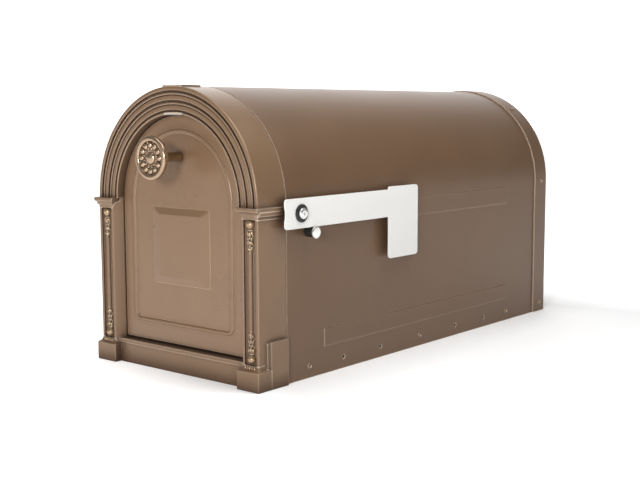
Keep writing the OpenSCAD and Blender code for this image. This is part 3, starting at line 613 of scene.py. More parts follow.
# %% Pressed panels
LOW_PANEL = (28.0, 47.5)
HIGH_PANEL = (150.5, 172.5)
PANEL_START = 101.5
FLAG_SIDE_START = 224.0
panel_end = body_end - 101.0
PRESS_STEPS = [(0.35, 0.06), (0.45, 0.34), (0.45, 0.34), (0.35, 0.06)]


def press_panel(side, start_y, low_z, high_z):
    """Presses one long panel out of the left (-1) or right (1) wall."""

    def on_wall(p, n):
        return side * p.x > half_w - 0.01 and abs(n.x) > 0.99

    for place, way in ((at(0, start_y, 0), (0, 1, 0)), (at(0, panel_end, 0), (0, 1, 0)),
                       (at(0, 0, low_z), (0, 0, 1)), (at(0, 0, high_z), (0, 0, 1))):
        pick("FACE", on_wall)
        bpy.ops.mesh.bisect(plane_co=place, plane_no=way)
    pick("FACE", lambda p, n: on_wall(p, n) and start_y < p.y < panel_end and low_z < p.z < high_z)
    for thickness, depth in PRESS_STEPS:
        bpy.ops.mesh.inset(thickness=thickness * MM, depth=depth * MM)


bpy.ops.mesh.select_all(action="SELECT")
bpy.ops.mesh.normals_make_consistent(inside=False)
for side, start_y, (low_z, high_z) in ((1, PANEL_START, LOW_PANEL), (-1, PANEL_START, LOW_PANEL),
                                       (1, FLAG_SIDE_START, HIGH_PANEL), (-1, PANEL_START, HIGH_PANEL)):
    press_panel(side, start_y, low_z, high_z)
pick("EDGE", lambda p, n: abs(p.y - body_front) < 0.01
     and abs(math.hypot(p.x, max(p.z - spring_z, 0)) - half_w) < 0.2)
bpy.ops.mesh.bevel(offset=0.9 * MM, segments=3)
clean(body)
modify(body, "SOLIDIFY", thickness=SHEET_T * MM, offset=-1, use_even_offset=True)

# %% [markdown]
# The mounting holes run in a row along the foot of both walls. A drill is modelled once, copied to each
# place, and cut from the sheet with a Boolean modifier.

# %% Mounting holes
HOLE_Z = 12.0
HOLE_MID = 274.5
HOLE_STEPS = (-140, -75, 75, 140)
HOLE_D = 4.6

drills = []
for side in (-1, 1):
    for step in HOLE_STEPS:
        drills.append(start("drill", bpy.ops.mesh.primitive_cylinder_add, vertices=24,
                            radius=HOLE_D / 2 * MM, depth=8 * MM, rotation=(0, math.pi / 2, 0),
                            location=at(side * half_w, HOLE_MID + step, HOLE_Z)))
cut(body, join("drills", drills))
smooth(body, 35)
fit(body, "box", body_coat, "bronze_powder_coat", "body_shell")

# %% [markdown]
# # Pressed rear panel
# The back is one pressing: a flat field, a rolled rim and a skirt that runs forward over the body. Its field
# is set in by a millimetre, as a press leaves it. The outline is filled, the skirt is pushed forward from
# its border, and the rim is rolled before the sheet gets its thickness.

# %% Rear pressing
REAR_T = 1.5
REAR_ROLL = 3.5
skirt_front = box_mm("rear_panel")[0].y
skirt_r = box_mm("rear_panel")[1].x

rear = draw("rear_pressing", [(x, body_end, z) for x, z in arch(skirt_r, body_foot, steps=64)])
fill()
push(0, skirt_front - body_end, 0)
pick("FACE", lambda p, n: abs(p.y - skirt_front) < 0.01)
bpy.ops.mesh.delete(type="FACE")
clean(rear)
bpy.ops.object.mode_set(mode="EDIT")
pick("EDGE", lambda p, n: abs(p.y - body_end) < 0.01)
bpy.ops.mesh.bevel(offset=REAR_ROLL * MM, segments=4)
pick("FACE", lambda p, n: n.y > 0.99)
bpy.ops.mesh.inset(thickness=14 * MM, depth=0)
for thickness, depth in PRESS_STEPS:
    bpy.ops.mesh.inset(thickness=thickness * MM, depth=-depth * MM)
clean(rear)
modify(rear, "SOLIDIFY", thickness=REAR_T * MM, offset=-1, use_even_offset=True)
smooth(rear, 35)
fit(rear, "box", body_coat, "bronze_powder_coat", "rear_panel")

# %% [markdown]
# # Cast front frame
# The frame is one casting, 3 mm thick and open behind. Its arch has one section all the way round: three
# broad bands that step back towards the door, with a deep groove after each and a small bead between them.
# The section is drawn once and spun half a turn round the middle of the arch.

# %% Section of the arch
FACE_Y = 4.6
BAND_W = 4.5
GROOVE_W = 2.0
BEAD_W = 2.1
LINE_W = 1.1
BAND_STEP = 0.7
GROOVE_DEPTH = 3.0
OPENING_R = door_r + 1.3
CAST_T = 3.0
POCKET_Y = 20.3


def moulding(r, y):
    """One band with its groove and bead, from the outside inwards: radius and depth."""
    groove_in = r - BAND_W - GROOVE_W
    bead_in = groove_in - BEAD_W
    return [
        (r, y, 1.9),
        (r - BAND_W, y, 2.2),
        (r - BAND_W, y + GROOVE_DEPTH, 0.3),
        (groove_in, y + GROOVE_DEPTH, 0.3),
        (groove_in, y + 0.5, 1.0),
        (bead_in, y + 0.5, 1.0),
        (bead_in, y + 2.2, 0.2),
    ]


def casting_back(r):
    """The open back of the casting, from the opening's rim round its pocket to the outer wall."""
    return [
        (OPENING_R, joint_y - 8, 0.5),
        (OPENING_R + CAST_T, joint_y - 8, 0.5),
        (OPENING_R + CAST_T, POCKET_Y + 2, 0.8),
        (r - CAST_T, POCKET_Y + 2, 0.8),
        (r - CAST_T, joint_y, 0.3),
        (r, joint_y, 0.9),
    ]


band_pitch = BAND_W + GROOVE_W + BEAD_W + LINE_W
last_r, last_y = half_w - 2 * band_pitch, FACE_Y + 2 * BAND_STEP
lip_r = last_r - BAND_W - GROOVE_W
section = (
    moulding(half_w, FACE_Y)
    + moulding(half_w - band_pitch, FACE_Y + BAND_STEP)
    + moulding(last_r, last_y)[:4]
    + [
        (lip_r, last_y + 0.4, 0.6),
        (lip_r - 2, last_y + 0.4, 0.9),
        (lip_r - 2, last_y + 2.4, 0.6),
        (OPENING_R, door_face - 1, 0.5),
    ]
    + casting_back(half_w)
)
print(f"arch section: {len(section)} corners, {half_w - lip_r + 2:.1f} mm wide")

# %% Spin the arch
arch_ring = draw("arch_ring", [(r, y, spring_z) for r, y in soft(section, 0.5)])
fill()
spin(arch_ring, 72, math.pi, at(0, 0, spring_z), (0, 1, 0))

# %% [markdown]
# The latch strip sits in a slot under the crown, so a block is cut out of the finished ring there.

# %% Slot for the latch strip
catch_low, catch_high = box_mm("latch_catch")
SLOT_W, SLOT_LEN, SLOT_H = catch_high.x * 2 + 1, 60, 20
SLOT_DROP = 9.9
slot = start("slot_cutter", bpy.ops.mesh.primitive_cube_add, size=1,
             location=at(0, catch_low.y + SLOT_LEN / 2, catch_high.z - SLOT_DROP),
             scale=(SLOT_W * MM, SLOT_LEN * MM, SLOT_H * MM))
cut(arch_ring, slot)

# %% [markdown]
# Each side of the frame is a pilaster: a flat border round a sunk channel, with a round reed up the middle
# and a splayed inner face that leads to the door. Its plan is drawn once and pushed up to the arch.

# %% Pilaster
PILASTER_W = 21.5
CHANNEL_IN, CHANNEL_OUT = 97.5, 113.0
CHANNEL_DEPTH = 2.5
REED_R = 2.6
channel_y = FACE_Y + CHANNEL_DEPTH
reed_x = (CHANNEL_IN + CHANNEL_OUT) / 2

plan = [
    (half_w, FACE_Y, 1.3),
    (CHANNEL_OUT, FACE_Y, 1.2),
    (CHANNEL_OUT, channel_y, 0.3),
    (CHANNEL_IN, channel_y, 0.3),
    (CHANNEL_IN, FACE_Y, 1.0),
    (half_w - PILASTER_W, FACE_Y, 1.0),
    (OPENING_R, door_face - 1, 0.5),
] + casting_back(half_w)
pilaster = solid("pilaster", [(x, y, body_foot) for x, y in soft(plan, 0.5)], (0, 0, spring_z - body_foot))
clean(pilaster)

# %% [markdown]
# Plinth and capital swell out of the pilaster over a hollow curve (a cove). A block is added at its size, and
# its end face is extruded in short steps, each one resized towards the pilaster.

# %% A block that grows or shrinks in steps
COVE_STEPS = 6


def brick(name, x0, x1, y0, y1, z0, z1):
    """A plain block between two corners in mm."""
    return start(name, bpy.ops.mesh.primitive_cube_add, size=1,
                 location=at((x0 + x1) / 2, (y0 + y1) / 2, (z0 + z1) / 2),
                 scale=((x1 - x0) * MM, (y1 - y0) * MM, abs(z1 - z0) * MM))


def resize_to(old, new, z):
    """Scales the selected end face from one rectangle (x0, x1, y0, y1) to another, in mm."""
    values, centre = [], []
    for a0, a1, b0, b1 in (old[:2] + new[:2], old[2:] + new[2:]):
        scale = (b1 - b0) / (a1 - a0)
        values.append(scale)
        centre.append((b0 - scale * a0) / (1 - scale) if abs(scale - 1) > 1e-6 else b0)
    bpy.ops.transform.resize(value=(*values, 1), center_override=at(*centre, z))


def coved_block(name, block, neck, z_block, z_fascia, z_neck):
    """A block from z_block to z_fascia, then a cove that ends on the neck at z_neck."""
    piece = brick(name, *block, z_block, z_fascia)
    bpy.ops.object.mode_set(mode="EDIT")
    pick("FACE", lambda p, n: abs(p.z - z_fascia) < 0.01)
    z, now = z_fascia, block
    for i in range(1, COVE_STEPS + 1):
        a = math.pi / 2 * i / COVE_STEPS
        share, height = math.sin(a), 1 - math.cos(a)
        target = tuple(b + (n - b) * share for b, n in zip(block, neck))
        z_next = z_fascia + (z_neck - z_fascia) * height
        push(0, 0, z_next - z)
        resize_to(now, target, z_next)
        z, now = z_next, target
    roll_edges(piece, 0.9, segments=3, angle=50)
    return piece


PLINTH_H, COVE_H = 19.5, 5.5
BLOCK_Y = 18.5
PLINTH_IN = ledge_x - 29.5
neck_in = half_w - PILASTER_W
plinth = coved_block(
    "plinth", (PLINTH_IN, ledge_x, 0, BLOCK_Y + 1), (neck_in, half_w + 0.01, FACE_Y, BLOCK_Y + 1),
    body_foot, PLINTH_H, PLINTH_H + COVE_H)

CAPITAL_H, FASCIA_H, CAPITAL_LEN = 11.5, 3.8, 38.0
capital = coved_block(
    "capital", (PLINTH_IN, ledge_x, 0, CAPITAL_LEN), (neck_in, half_w + 0.3, FACE_Y, CAPITAL_LEN),
    spring_z, spring_z - FASCIA_H, spring_z - CAPITAL_H)

# %% [markdown]
# At the foot of each side a thin step and a taller block take the screws of the post kit. They are plain
# cast slabs with rolled edges.

# %% Side block and step
BLOCK_H = 47.0
STEP_LEN = 4.0


def slab(name, x0, x1, y0, y1, z0, z1, roll):
    """A cast slab between two corners, with rolled edges."""
    piece = brick(name, x0, x1, y0, y1, z0, z1)
    roll_edges(piece, roll, segments=3)
    return piece


BAND_H = 8.0
side_band = slab("side_band", half_w - CAST_T, ledge_x - 0.3, BAND_H / 2, CAPITAL_LEN,
                 spring_z - BAND_H, spring_z, 0.6)
block = slab("side_block", half_w - CAST_T, ledge_x, BLOCK_Y, joint_y, body_foot, BLOCK_H, 0.9)
step = slab("side_step", half_w - CAST_T, (half_w + ledge_x) / 2, BLOCK_Y - STEP_LEN, BLOCK_Y + 1,
            PLINTH_H, BLOCK_H - 1, 0.6)

# %% [markdown]
# The channel holds a reed that ends in a spray of buds and leaves, with a ball at each end of the pilaster.
# One bud, a drop with a pointed tip, is modelled once. Every ball, drop and leaf is a copy of it, flattened,
# turned and set in place.

# %% One bud
def bud_shape():
    """A drop 1 mm across, round at its foot and pointed at +Z."""
    bud = start("bud", bpy.ops.mesh.primitive_uv_sphere_add, segments=14, ring_count=10, radius=0.5 * MM)
    bpy.ops.object.mode_set(mode="EDIT")
    # The bud stands at the model's own origin, and pick measures from the foot.
    pick("VERT", lambda p, n: p.z + foot_z / MM > 0.35)
    bpy.ops.transform.resize(value=(0.7, 0.7, 1), center_override=(0, 0, 0))
    bpy.ops.transform.translate(value=(0, 0, 0.14 * MM))
    pick("VERT", lambda p, n: p.z + foot_z / MM > 0.6)
    bpy.ops.transform.translate(value=(0, 0, 0.12 * MM))
    clean(bud)
    bpy.ops.object.shade_smooth()
    return bud


bud = bud_shape()


def set_bud(place, size, tilt=0.0, up=1, deep=0.0):
    """A copy of the bud in the channel: (x, z) in mm, (width, depth, length), tilt in degrees."""
    x, z = place
    turn = Matrix.Rotation(math.radians(tilt), 4, "Y") @ Matrix.Diagonal((1, 1, up, 1))
    return copy_of(bud, "bud_copy", Matrix.Translation(at(x, channel_y + deep, z)) @ turn
                   @ Matrix.Diagonal((*size, 1)))


# %% Sprays of the pilaster
BALL_D = 9.6
SPRAY = [
    # (across, along, width, depth, length, tilt, times: 2 for a pair that mirrors)
    (0.0, 5.7, 7.0, 5.6, 2.4, 0, 1),
    (0.0, 9.4, 4.6, 7.0, 7.0, 0, 1),
    (2.9, 8.4, 2.1, 4.8, 5.6, 8, 2),
    (0.0, 13.6, 2.6, 5.4, 3.2, 0, 1),
    (2.1, 14.0, 1.8, 4.2, 4.6, -18, 2),
    (0.0, 17.6, 3.8, 6.2, 5.4, 0, 1),
    (2.5, 17.4, 1.8, 4.4, 4.6, 16, 2),
    (0.0, 21.2, 2.2, 5.0, 2.8, 0, 1),
    (0.0, 23.8, 3.2, 6.0, 4.8, 0, 1),
    (2.1, 23.2, 1.8, 4.4, 4.4, -20, 2),
    (0.5, 27.2, 2.4, 5.0, 4.4, 14, 1),
]
TOP_BALL_Z, LOW_BALL_Z = spring_z - 15.5, PLINTH_H + COVE_H + 5.5
LEAF, LEAF_PITCH, LEAF_UP, LEAF_OUT = (2.3, 2.6, 3.6), 3, 2.6, 2.8
SPRAY_LEN = 27

ornament = []
for ball_z, way in ((TOP_BALL_Z, -1), (LOW_BALL_Z, 1)):
    ornament.append(set_bud((reed_x, ball_z), (BALL_D, BALL_D, BALL_D * 0.86), up=way))
    for across, along, width, depth, length, tilt, times in SPRAY:
        for side in (-1, 1)[-times:]:
            ornament.append(set_bud((reed_x + side * across, ball_z + way * along),
                                    (width, depth, length), tilt=side * way * tilt, up=way))
# Five small leaves stand in a row on the plinth's cove.
for i in range(-2, 3):
    ornament.append(set_bud((reed_x + LEAF_PITCH * i, PLINTH_H + LEAF_UP), LEAF, deep=-LEAF_OUT))
reed_low, reed_high = LOW_BALL_Z + SPRAY_LEN, TOP_BALL_Z - SPRAY_LEN
reed = start("reed", bpy.ops.mesh.primitive_cylinder_add, vertices=24, radius=REED_R * MM,
             depth=(reed_high - reed_low) * MM, location=at(reed_x, channel_y, (reed_low + reed_high) / 2))
roll_edges(reed, 1.2, segments=3)
bpy.data.objects.remove(bud)
print("buds on one pilaster:", len(ornament))

# %% [markdown]
# The sill is a hollow beam between the plinths, open underneath. Its section shows a raised lip along the top
# edge. It is drawn from the side and pushed across.

# %% Sill and crown pad
SILL_H = 26.0
SILL_Y = 7.0
LIP, LIP_H = 1.2, 4.5
sill_in = PLINTH_IN + 2
sill_section = [
    (SILL_Y + LIP, body_foot),
    (SILL_Y + LIP, SILL_H - LIP_H, 0.3),
    (SILL_Y, SILL_H - LIP_H, 0.6),
    (SILL_Y, SILL_H, 0.8),
    (joint_y, SILL_H, 0.5),
    (joint_y, SILL_H - CAST_T, 0.3),
    (SILL_Y + LIP + CAST_T, SILL_H - CAST_T, 0.8),
    (SILL_Y + LIP + CAST_T, body_foot),
]
sill = solid("sill", [(-sill_in, y, z) for y, z in soft(sill_section, 0.3)], (2 * sill_in, 0, 0))
clean(sill)

PAD_W, PAD_LEN, PAD_H = 28.0, 27.0, 1.0
pad = slab("crown_pad", -PAD_W / 2, PAD_W / 2, FACE_Y + 1, FACE_Y + 1 + PAD_LEN,
           crown_z - 3, crown_z + PAD_H, 0.6)

# %% Join the casting
spray = join("pilaster_sprays", ornament)
spray = join("pilaster_sprays", [spray, copy_of(spray, "left_spray", MIRROR)])
smooth(spray, 50)
fit(spray, "box", spray_coat, "bronze_cast_paint")
right_side = join("right_side", [pilaster, plinth, capital, side_band, block, step, reed])
left_side = copy_of(right_side, "left_side", MIRROR)
casting = join("front_casting", [arch_ring, right_side, left_side, sill, pad])
smooth(casting, 38)
fit(casting, "box", cast_coat, "bronze_cast_paint", "front_frame")

# %% [markdown]
# # Door
# The door is a casting too: a 3 mm plate with a rim behind it for stiffness. A rib follows its edge, and a
# panel with wide bevels stands in its middle. The plate is pushed back from its outline, and the hollow
# behind the rim is an inset of the rear face that is pushed forward again.

# %% Door plate
DOOR_T = 3.0
RIM_DEPTH = 5.0
RIM_T = 2.5
door = solid("door_plate", [(x, door_face, z) for x, z in arch(door_r, door_foot, steps=64, corner=2)],
             (0, DOOR_T + RIM_DEPTH, 0))
clean(door)
bpy.ops.object.mode_set(mode="EDIT")
pick("FACE", lambda p, n: n.y > 0.99)
bpy.ops.mesh.inset(thickness=RIM_T * MM, depth=0)
push(0, -RIM_DEPTH, 0)
roll_edges(door, 0.9, segments=3)

# %% [markdown]
# The rib is half round. A curve follows its line with a round bevel, becomes a mesh, and is flattened on to
# the door's face.

# %% Rib along the door's edge
RIB_INSET, RIB_W, RIB_H, RIB_LIFT = 13.0, 5.0, 1.6, 18.0


def rod(name, points, radius, closed):
    """A round rod along a line of points in mm, as a mesh."""
    curve = bpy.data.curves.new(name, "CURVE")
    curve.dimensions = "3D"
    curve.bevel_depth = radius * MM
    curve.bevel_resolution = 4
    line = curve.splines.new("POLY")
    line.points.add(len(points) - 1)
    for point, place in zip(line.points, points):
        point.co = (*at(*place), 1)
    line.use_cyclic_u = closed
    piece = bpy.data.objects.new(name, curve)
    bpy.context.scene.collection.objects.link(piece)
    activate(piece)
    bpy.ops.object.convert(target="MESH")
    return bpy.context.object


rib_r = door_r - RIB_INSET - RIB_W / 2
rib_line = arch(rib_r, door_foot + RIB_LIFT + RIB_W / 2, steps=64, corner=7)
rib = rod("door_rib", [(x, door_face, z) for x, z in rib_line], RIB_W / 2, True)
bpy.ops.object.mode_set(mode="EDIT")
bpy.ops.mesh.select_all(action="SELECT")
bpy.ops.transform.resize(value=(1, RIB_H / (RIB_W / 2), 1), center_override=at(0, door_face, 0))
clean(rib)

# %% Bevelled centre panel
PANEL_W, PANEL_H, PANEL_LIFT = 82.5, 79.0, 62.5
SIDE_BEVEL, END_BEVEL = 11.3, 7.0
PANEL_STEP = 0.4
panel_z = door_foot + PANEL_LIFT
top_size = ((PANEL_W - 2 * SIDE_BEVEL) / PANEL_W, 1, (PANEL_H - 2 * END_BEVEL) / PANEL_H)
centre_z = panel_z + PANEL_H / 2
border = soft([(-PANEL_W / 2, panel_z), (PANEL_W / 2, panel_z), (PANEL_W / 2, panel_z + PANEL_H),
               (-PANEL_W / 2, panel_z + PANEL_H)], 3.0, steps=5)
panel = draw("door_centre_panel", [(x, door_face + 0.5, z) for x, z in border])
fill()
push(0, -0.5 - PANEL_STEP, 0)
push(0, PANEL_STEP - PANEL_RAISE, 0)
bpy.ops.transform.resize(value=top_size, center_override=at(0, door_face, centre_z))
roll_edges(panel, 0.8, segments=3, angle=8)

# %% [markdown]
# Two lugs behind the lower corners take the hinge pins. The knob and the latch tab have pads behind them.

# %% Lugs and pads
HINGE_BACK, HINGE_UP = 5.0, 2.0
LUG_D, LUG_LEN, PIN_D = 9.0, 12.0, 4.1
KNOB_Z = in_mm(sum(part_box("knob_rosette"), Vector()) / 2).z


def lug(side):
    """A round lug across the box, bored for its pin."""
    place = at(side * (door_r - LUG_LEN / 2), door_face + HINGE_BACK, door_foot + HINGE_UP)
    piece = start("lug", bpy.ops.mesh.primitive_cylinder_add, vertices=32, radius=LUG_D / 2 * MM,
                  depth=LUG_LEN * MM, location=place, rotation=(0, math.pi / 2, 0))
    bpy.ops.object.mode_set(mode="EDIT")
    pick("FACE", lambda p, n: abs(n.x) > 0.99)
    bpy.ops.mesh.inset(thickness=(LUG_D - PIN_D) / 2 * MM, depth=0)
    bpy.ops.mesh.bridge_edge_loops()
    roll_edges(piece, 0.5)
    return piece


door_back = door_face + DOOR_T
knob_pad = start("knob_pad", bpy.ops.mesh.primitive_cylinder_add, vertices=40, radius=10.4 * MM,
                 depth=2.6 * MM, location=at(0, door_back + 0.7, KNOB_Z), rotation=(math.pi / 2, 0, 0))
roll_edges(knob_pad, 0.6)
tab_pad = slab("tab_pad", -8, 8, door_back - 0.5, door_back + 3, door_top - 23, door_top - 13, 0.5)
door = join("door_panel_cast", [door, rib, panel, lug(-1), lug(1), knob_pad, tab_pad])
smooth(door, 38)
fit(door, "door", door_coat, "bronze_cast_paint", "door_panel")

# %% [markdown]
# # Knob
# The rosette is a shallow dish with a rolled rim. Twelve large beads stand in a ring round a dome, with two
# small beads between each pair: one nearer the middle and one nearer the rim. The dish is a section spun a
# full turn.

# %% Rosette
rose_low, rose_high = box_mm("knob_rosette")
rose_r = rose_high.x
rose_front, rose_back = rose_low.y, rose_high.y
knob_centre = at(0, 0, KNOB_Z)


def turned(name, profile, steps=64):
    """A turned piece: a profile of (radius, depth) points in mm, spun about the knob's axis."""
    piece = draw(name, [(r, y, KNOB_Z) for r, y in profile])
    return spin(piece, steps, 2 * math.pi, knob_centre, (0, 1, 0))


DISH_R, RIM_MID_R, RIM_HALF, RIM_RISE = 16.2, 19.1, 2.8, 2.0
dish_y = rose_front + 2.4
rim_profile = [(0, dish_y), (DISH_R, dish_y)] + [
    (RIM_MID_R + RIM_HALF * math.cos(a), rose_front + RIM_RISE - RIM_RISE * math.sin(a))
    for a in [math.radians(180 - 15 * i) for i in range(13)]
]
rim_profile += [(21.9, rose_front + 3.2), (rose_r, rose_front + 3.8), (21.4, rose_back - 0.8),
                (19.5, rose_back), (0, rose_back)]
rosette = turned("rosette", rim_profile)


def bead(radius_mm, ring_r, turn_deg, height):
    """A domed bead standing on the dish."""
    piece = start("bead", bpy.ops.mesh.primitive_uv_sphere_add, segments=16, ring_count=10,
                  radius=radius_mm * MM)
    bpy.ops.object.mode_set(mode="EDIT")
    bpy.ops.mesh.select_all(action="SELECT")
    bpy.ops.transform.resize(value=(1, height / radius_mm, 1.1), center_override=(0, 0, 0))
    bpy.ops.transform.translate(value=(0, dish_y * MM + front_y, ring_r * MM))
    bpy.ops.object.mode_set(mode="OBJECT")
    turn = Matrix.Rotation(math.radians(turn_deg), 4, "Y")
    piece.data.transform(Matrix.Translation((0, 0, knob_centre.z)) @ turn)
    bpy.ops.object.shade_smooth()
    return piece


BEADS = [
    # (radius, radius of its ring, turn, height)
    (3.15, 12.9, 0, 2.5),
    (1.3, 9.2, 15, 1.6),
    (1.0, 15.6, 15, 1.1),
]
beads = [bead(radius, ring_r, 30 * i + turn, height)
         for i in range(12) for radius, ring_r, turn, height in BEADS]
rosette = join("knob_rosette_cast", [rosette] + beads)
smooth(rosette, 45)
fit(rosette, "door", brass, "antique_brass", "knob_rosette")

# %% Dome and stem
DOME_R, DOME_H = 6.2, 3.0
dome_profile = [(0, dish_y - DOME_H)] + [
    (DOME_R * math.sin(a), dish_y - DOME_H * math.cos(a)) for a in [math.radians(9 * i) for i in range(1, 11)]
] + [(DOME_R + 0.9, dish_y - 0.1), (DOME_R + 0.9, dish_y + 0.4), (0, dish_y + 0.4)]
dome = turned("knob_dome_cast", dome_profile, 40)
smooth(dome, 40)
fit(dome, "door", brass, "antique_brass", "knob_dome")

STEM_R = 4.75
stem_profile = [(0, rose_back - 2), (STEM_R + 1.2, rose_back - 1), (STEM_R + 1.2, rose_back + 1.6),
                (STEM_R + 0.7, rose_back + 2.2), (STEM_R, rose_back + 2.4), (STEM_R, door_face - 0.1),
                (0, door_face - 0.05)]
stem = turned("knob_stem_turned", stem_profile, 40)
smooth(stem, 35)
fit(stem, "door", dark_brass, "antique_brass", "knob_stem")

# %% [markdown]
# # Signal flag
# The flag is cut from 2 mm sheet with rounded corners and a shallow hollow at the end of its tail. It turns
# on a black nylon bushing held by a bright bolt, and rests on a rubber stop with a bright cap.

# %% Flag plate
flag_low, flag_high = box_mm("flag_plate")
pivot = in_mm(Vector(next(j for j in frame["joints"] if j["name"] == "flag_pivot")["pos_m"]))
ARM_H, ARM_LEN = 29.5, 144.5
HOLLOW = 1.2
arm_low, arm_high = pivot.z - ARM_H / 2, pivot.z + ARM_H / 2
plate_y = pivot.y + ARM_LEN
flag_outline = [
    (flag_low.y, arm_low, 4.5),
    (plate_y, arm_low, 0.6),
    (plate_y, flag_low.z, 4.5),
    (flag_high.y, flag_low.z, 4.5),
    (flag_high.y, flag_high.z, 4.5),
    (plate_y, flag_high.z, 4.5),
    (plate_y, arm_high, 0.6),
    (flag_low.y, arm_high, 4.5),
    (flag_low.y + 0.2, pivot.z + 6.5, 2.5),
    (flag_low.y + HOLLOW, pivot.z + 3.5, 2.5),
    (flag_low.y + HOLLOW, pivot.z - 3.5, 2.5),
    (flag_low.y + 0.2, pivot.z - 6.5, 2.5),
]
flag = solid("flag_cut_plate", [(flag_low.x, y, z) for y, z in soft(flag_outline, 4.5, steps=6)],
             (flag_high.x - flag_low.x, 0, 0))
roll_edges(flag, 0.45, segments=3)
smooth(flag, 40)
fit(flag, "flag", silver, "silver_paint", "flag_plate")

# %% [markdown]
# Bushing, bolt and stop are all turned about a line across the box, so one helper spins their profiles there.

# %% Bushing, bolt and stop
def turned_across(name, profile, y, z, steps=40):
    """A turned piece whose axis runs across the box at (y, z): profile of (x, radius) in mm."""
    piece = draw(name, [(x, y, z + r) for x, r in profile])
    return spin(piece, steps, 2 * math.pi, at(0, y, z), (1, 0, 0))


bush_low, bush_high = box_mm("flag_bushing")
bolt_low, bolt_high = box_mm("flag_bolt")
stop_low, stop_high = box_mm("stop_sleeve")
cap_low, cap_high = box_mm("stop_screw")
stop_y, stop_z = (stop_low.y + stop_high.y) / 2, (stop_low.z + stop_high.z) / 2
FLANGE_R, BARREL_R, BOLT_R = 9.0, 5.5, 3.05
FIT_GAP = 0.02
x_in, x_out = bush_low.x, bush_high.x
back_x, face_x = flag_low.x - FIT_GAP, flag_high.x + FIT_GAP
bushing = turned_across("flag_bushing_moulded", [
    (x_in, BOLT_R), (x_in, 7.6), (x_in + 0.4, 8.0), (flag_low.x - 0.5, 8.0), (back_x, 7.6),
    (back_x, BARREL_R), (face_x, BARREL_R), (face_x, FLANGE_R - 0.2), (flag_high.x + 0.3, FLANGE_R),
    (x_out - 0.5, FLANGE_R), (x_out - 0.1, FLANGE_R - 0.4), (x_out, FLANGE_R - 0.9), (x_out, 6.3),
    (x_out - 0.5, 6.0), (x_out - 0.5, BOLT_R), (x_in, BOLT_R)], pivot.y, pivot.z)
smooth(bushing, 35)
fit(bushing, "flag", nylon, "black_nylon", "flag_bushing")

tip_x, head_x, end_x = bolt_low.x, x_out + 0.1, bolt_high.x
bolt = turned_across("flag_bolt_turned", [
    (tip_x, 0), (tip_x, 2.6), (tip_x + 0.5, 3.0), (head_x, 3.0), (head_x, 5.2), (head_x + 0.3, 5.5),
    (end_x - 1.2, 5.5), (end_x - 0.6, 5.2), (end_x - 0.25, 4.4), (end_x - 0.25, 3.6), (end_x - 0.05, 3.3),
    (end_x, 2.2), (end_x - 0.1, 1.6), (end_x - 0.3, 1.5), (end_x - 1.8, 1.5), (end_x - 1.8, 0)],
    pivot.y, pivot.z)
smooth(bolt, 35)
fit(bolt, "box", bright, "bright_bolt", "flag_bolt")

sleeve_r = stop_high.z - stop_z
sleeve = turned_across("stop_sleeve_moulded", [
    (stop_low.x, 2.55), (stop_low.x, sleeve_r - 0.6), (stop_low.x + 0.6, sleeve_r),
    (stop_high.x - 0.6, sleeve_r), (stop_high.x, sleeve_r - 0.6), (stop_high.x, 2.55),
    (stop_low.x, 2.55)], stop_y, stop_z)
smooth(sleeve, 35)
fit(sleeve, "box", rubber, "black_rubber", "stop_sleeve")

cap_r, seat_x = cap_high.z - stop_z, stop_high.x + FIT_GAP
cap = turned_across("stop_screw_turned", [
    (cap_low.x, 0), (cap_low.x, 2.2), (cap_low.x + 0.4, 2.5), (seat_x, 2.5), (seat_x, cap_r - 0.3),
    (stop_high.x + 0.4, cap_r), (cap_high.x - 0.6, cap_r), (cap_high.x - 0.2, cap_r - 0.5),
    (cap_high.x, cap_r - 1.2), (cap_high.x, 0)], stop_y, stop_z)
smooth(cap, 35)
fit(cap, "box", bright, "bright_bolt", "stop_screw")

# %% [markdown]
# # Rivets
# The body, the floor and the rear panel are held by blind rivets with low domed heads. One head is turned and
# copied to each place, turned to face out of the sheet that it holds.

# %% One rivet, copied round the body
RIVET_R, RIVET_H = 3.3, 1.6
RIVET_ROW = (-195, 0, 195)
REAR_RIVET_Y = body_end - 16
REAR_RIVET_Z = (HOLE_Z, spring_z - 2)
REAR_ANGLES = (52, 128)


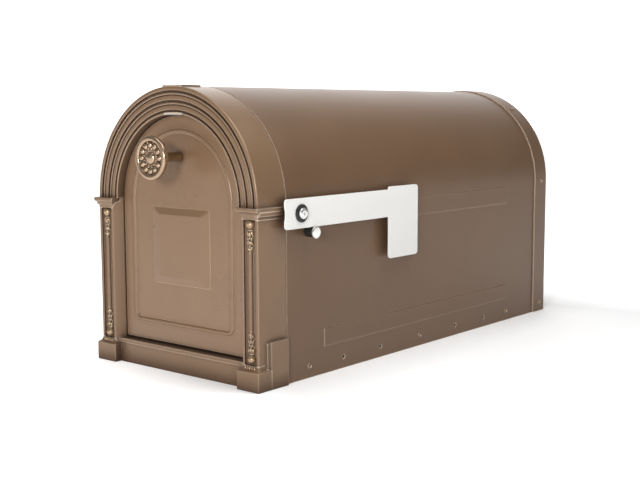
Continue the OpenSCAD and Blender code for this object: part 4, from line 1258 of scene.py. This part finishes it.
def rivet_head():
    """A rivet with its axis along +X from the origin: shank, low dome and a small centre dimple."""
    angles = [math.radians(15 * i) for i in range(2, 7)]
    dimple = [(RIVET_H - 0.5, 0), (RIVET_H - 0.45, 0.75), (RIVET_H - 0.05, 0.95)]
    dome = [(RIVET_H * math.cos(a), RIVET_R * math.sin(a)) for a in angles]
    piece = turned_across("rivet", dimple + dome + [(-3.4, 1.6), (-3.4, 0)], 0, 0, steps=20)
    piece.data.transform(Matrix.Translation(-at(0, 0, 0)))
    bpy.ops.object.shade_smooth_by_angle(angle=math.radians(40))
    return piece


rivet = rivet_head()
side_rivets, rear_rivets = [], []
outward = {1: Matrix.Identity(4), -1: Matrix.Rotation(math.pi, 4, "Z")}
for side in (-1, 1):
    for step in RIVET_ROW:
        spot = Matrix.Translation(at(side * half_w, HOLE_MID + step, HOLE_Z))
        side_rivets.append(copy_of(rivet, "side_rivet", spot @ outward[side]))
    for z in REAR_RIVET_Z:
        spot = Matrix.Translation(at(side * skirt_r, REAR_RIVET_Y, z))
        rear_rivets.append(copy_of(rivet, "rear_rivet", spot @ outward[side]))
for angle in REAR_ANGLES:
    spot = Matrix.Translation(at(0, REAR_RIVET_Y, spring_z)) @ Matrix.Rotation(math.radians(-angle), 4, "Y")
    rear_rivets.append(copy_of(rivet, "rear_rivet", spot @ Matrix.Translation((skirt_r * MM, 0, 0))))
bpy.data.objects.remove(rivet)
fit(join("side_rivet_set", side_rivets), "box", rivet_coat, "bronze_rivet", "side_rivets")
fit(join("rear_rivet_set", rear_rivets), "box", rivet_coat, "bronze_rivet", "rear_rivets")

# %% [markdown]
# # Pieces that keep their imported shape
# Screws, washers, pins, the latch and the floor pan are already right, so they only get their finish.

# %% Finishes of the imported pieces
PACKED = (
    (galvanised, ("floor_pan",)),
    (spring_steel, ("latch_catch", "latch_tab")),
    (plated, ("floor_rivets", "frame_screws", "catch_screws", "hinge_pins", "latch_tab_screws", "knob_screw",
              "knob_washer", "flag_washer", "flag_spring_washer", "flag_nut", "stop_nut")),
)
for material, names in PACKED:
    for name in names:
        for material_slot in frame["nodes"][name].material_slots:
            material_slot.material = material
print("packed pieces with a new finish:", sum(len(names) for _, names in PACKED))

# %% [markdown]
# # Last step
# The view layer is brought up to date.

# %% Update the view layer
bpy.context.view_layer.update()
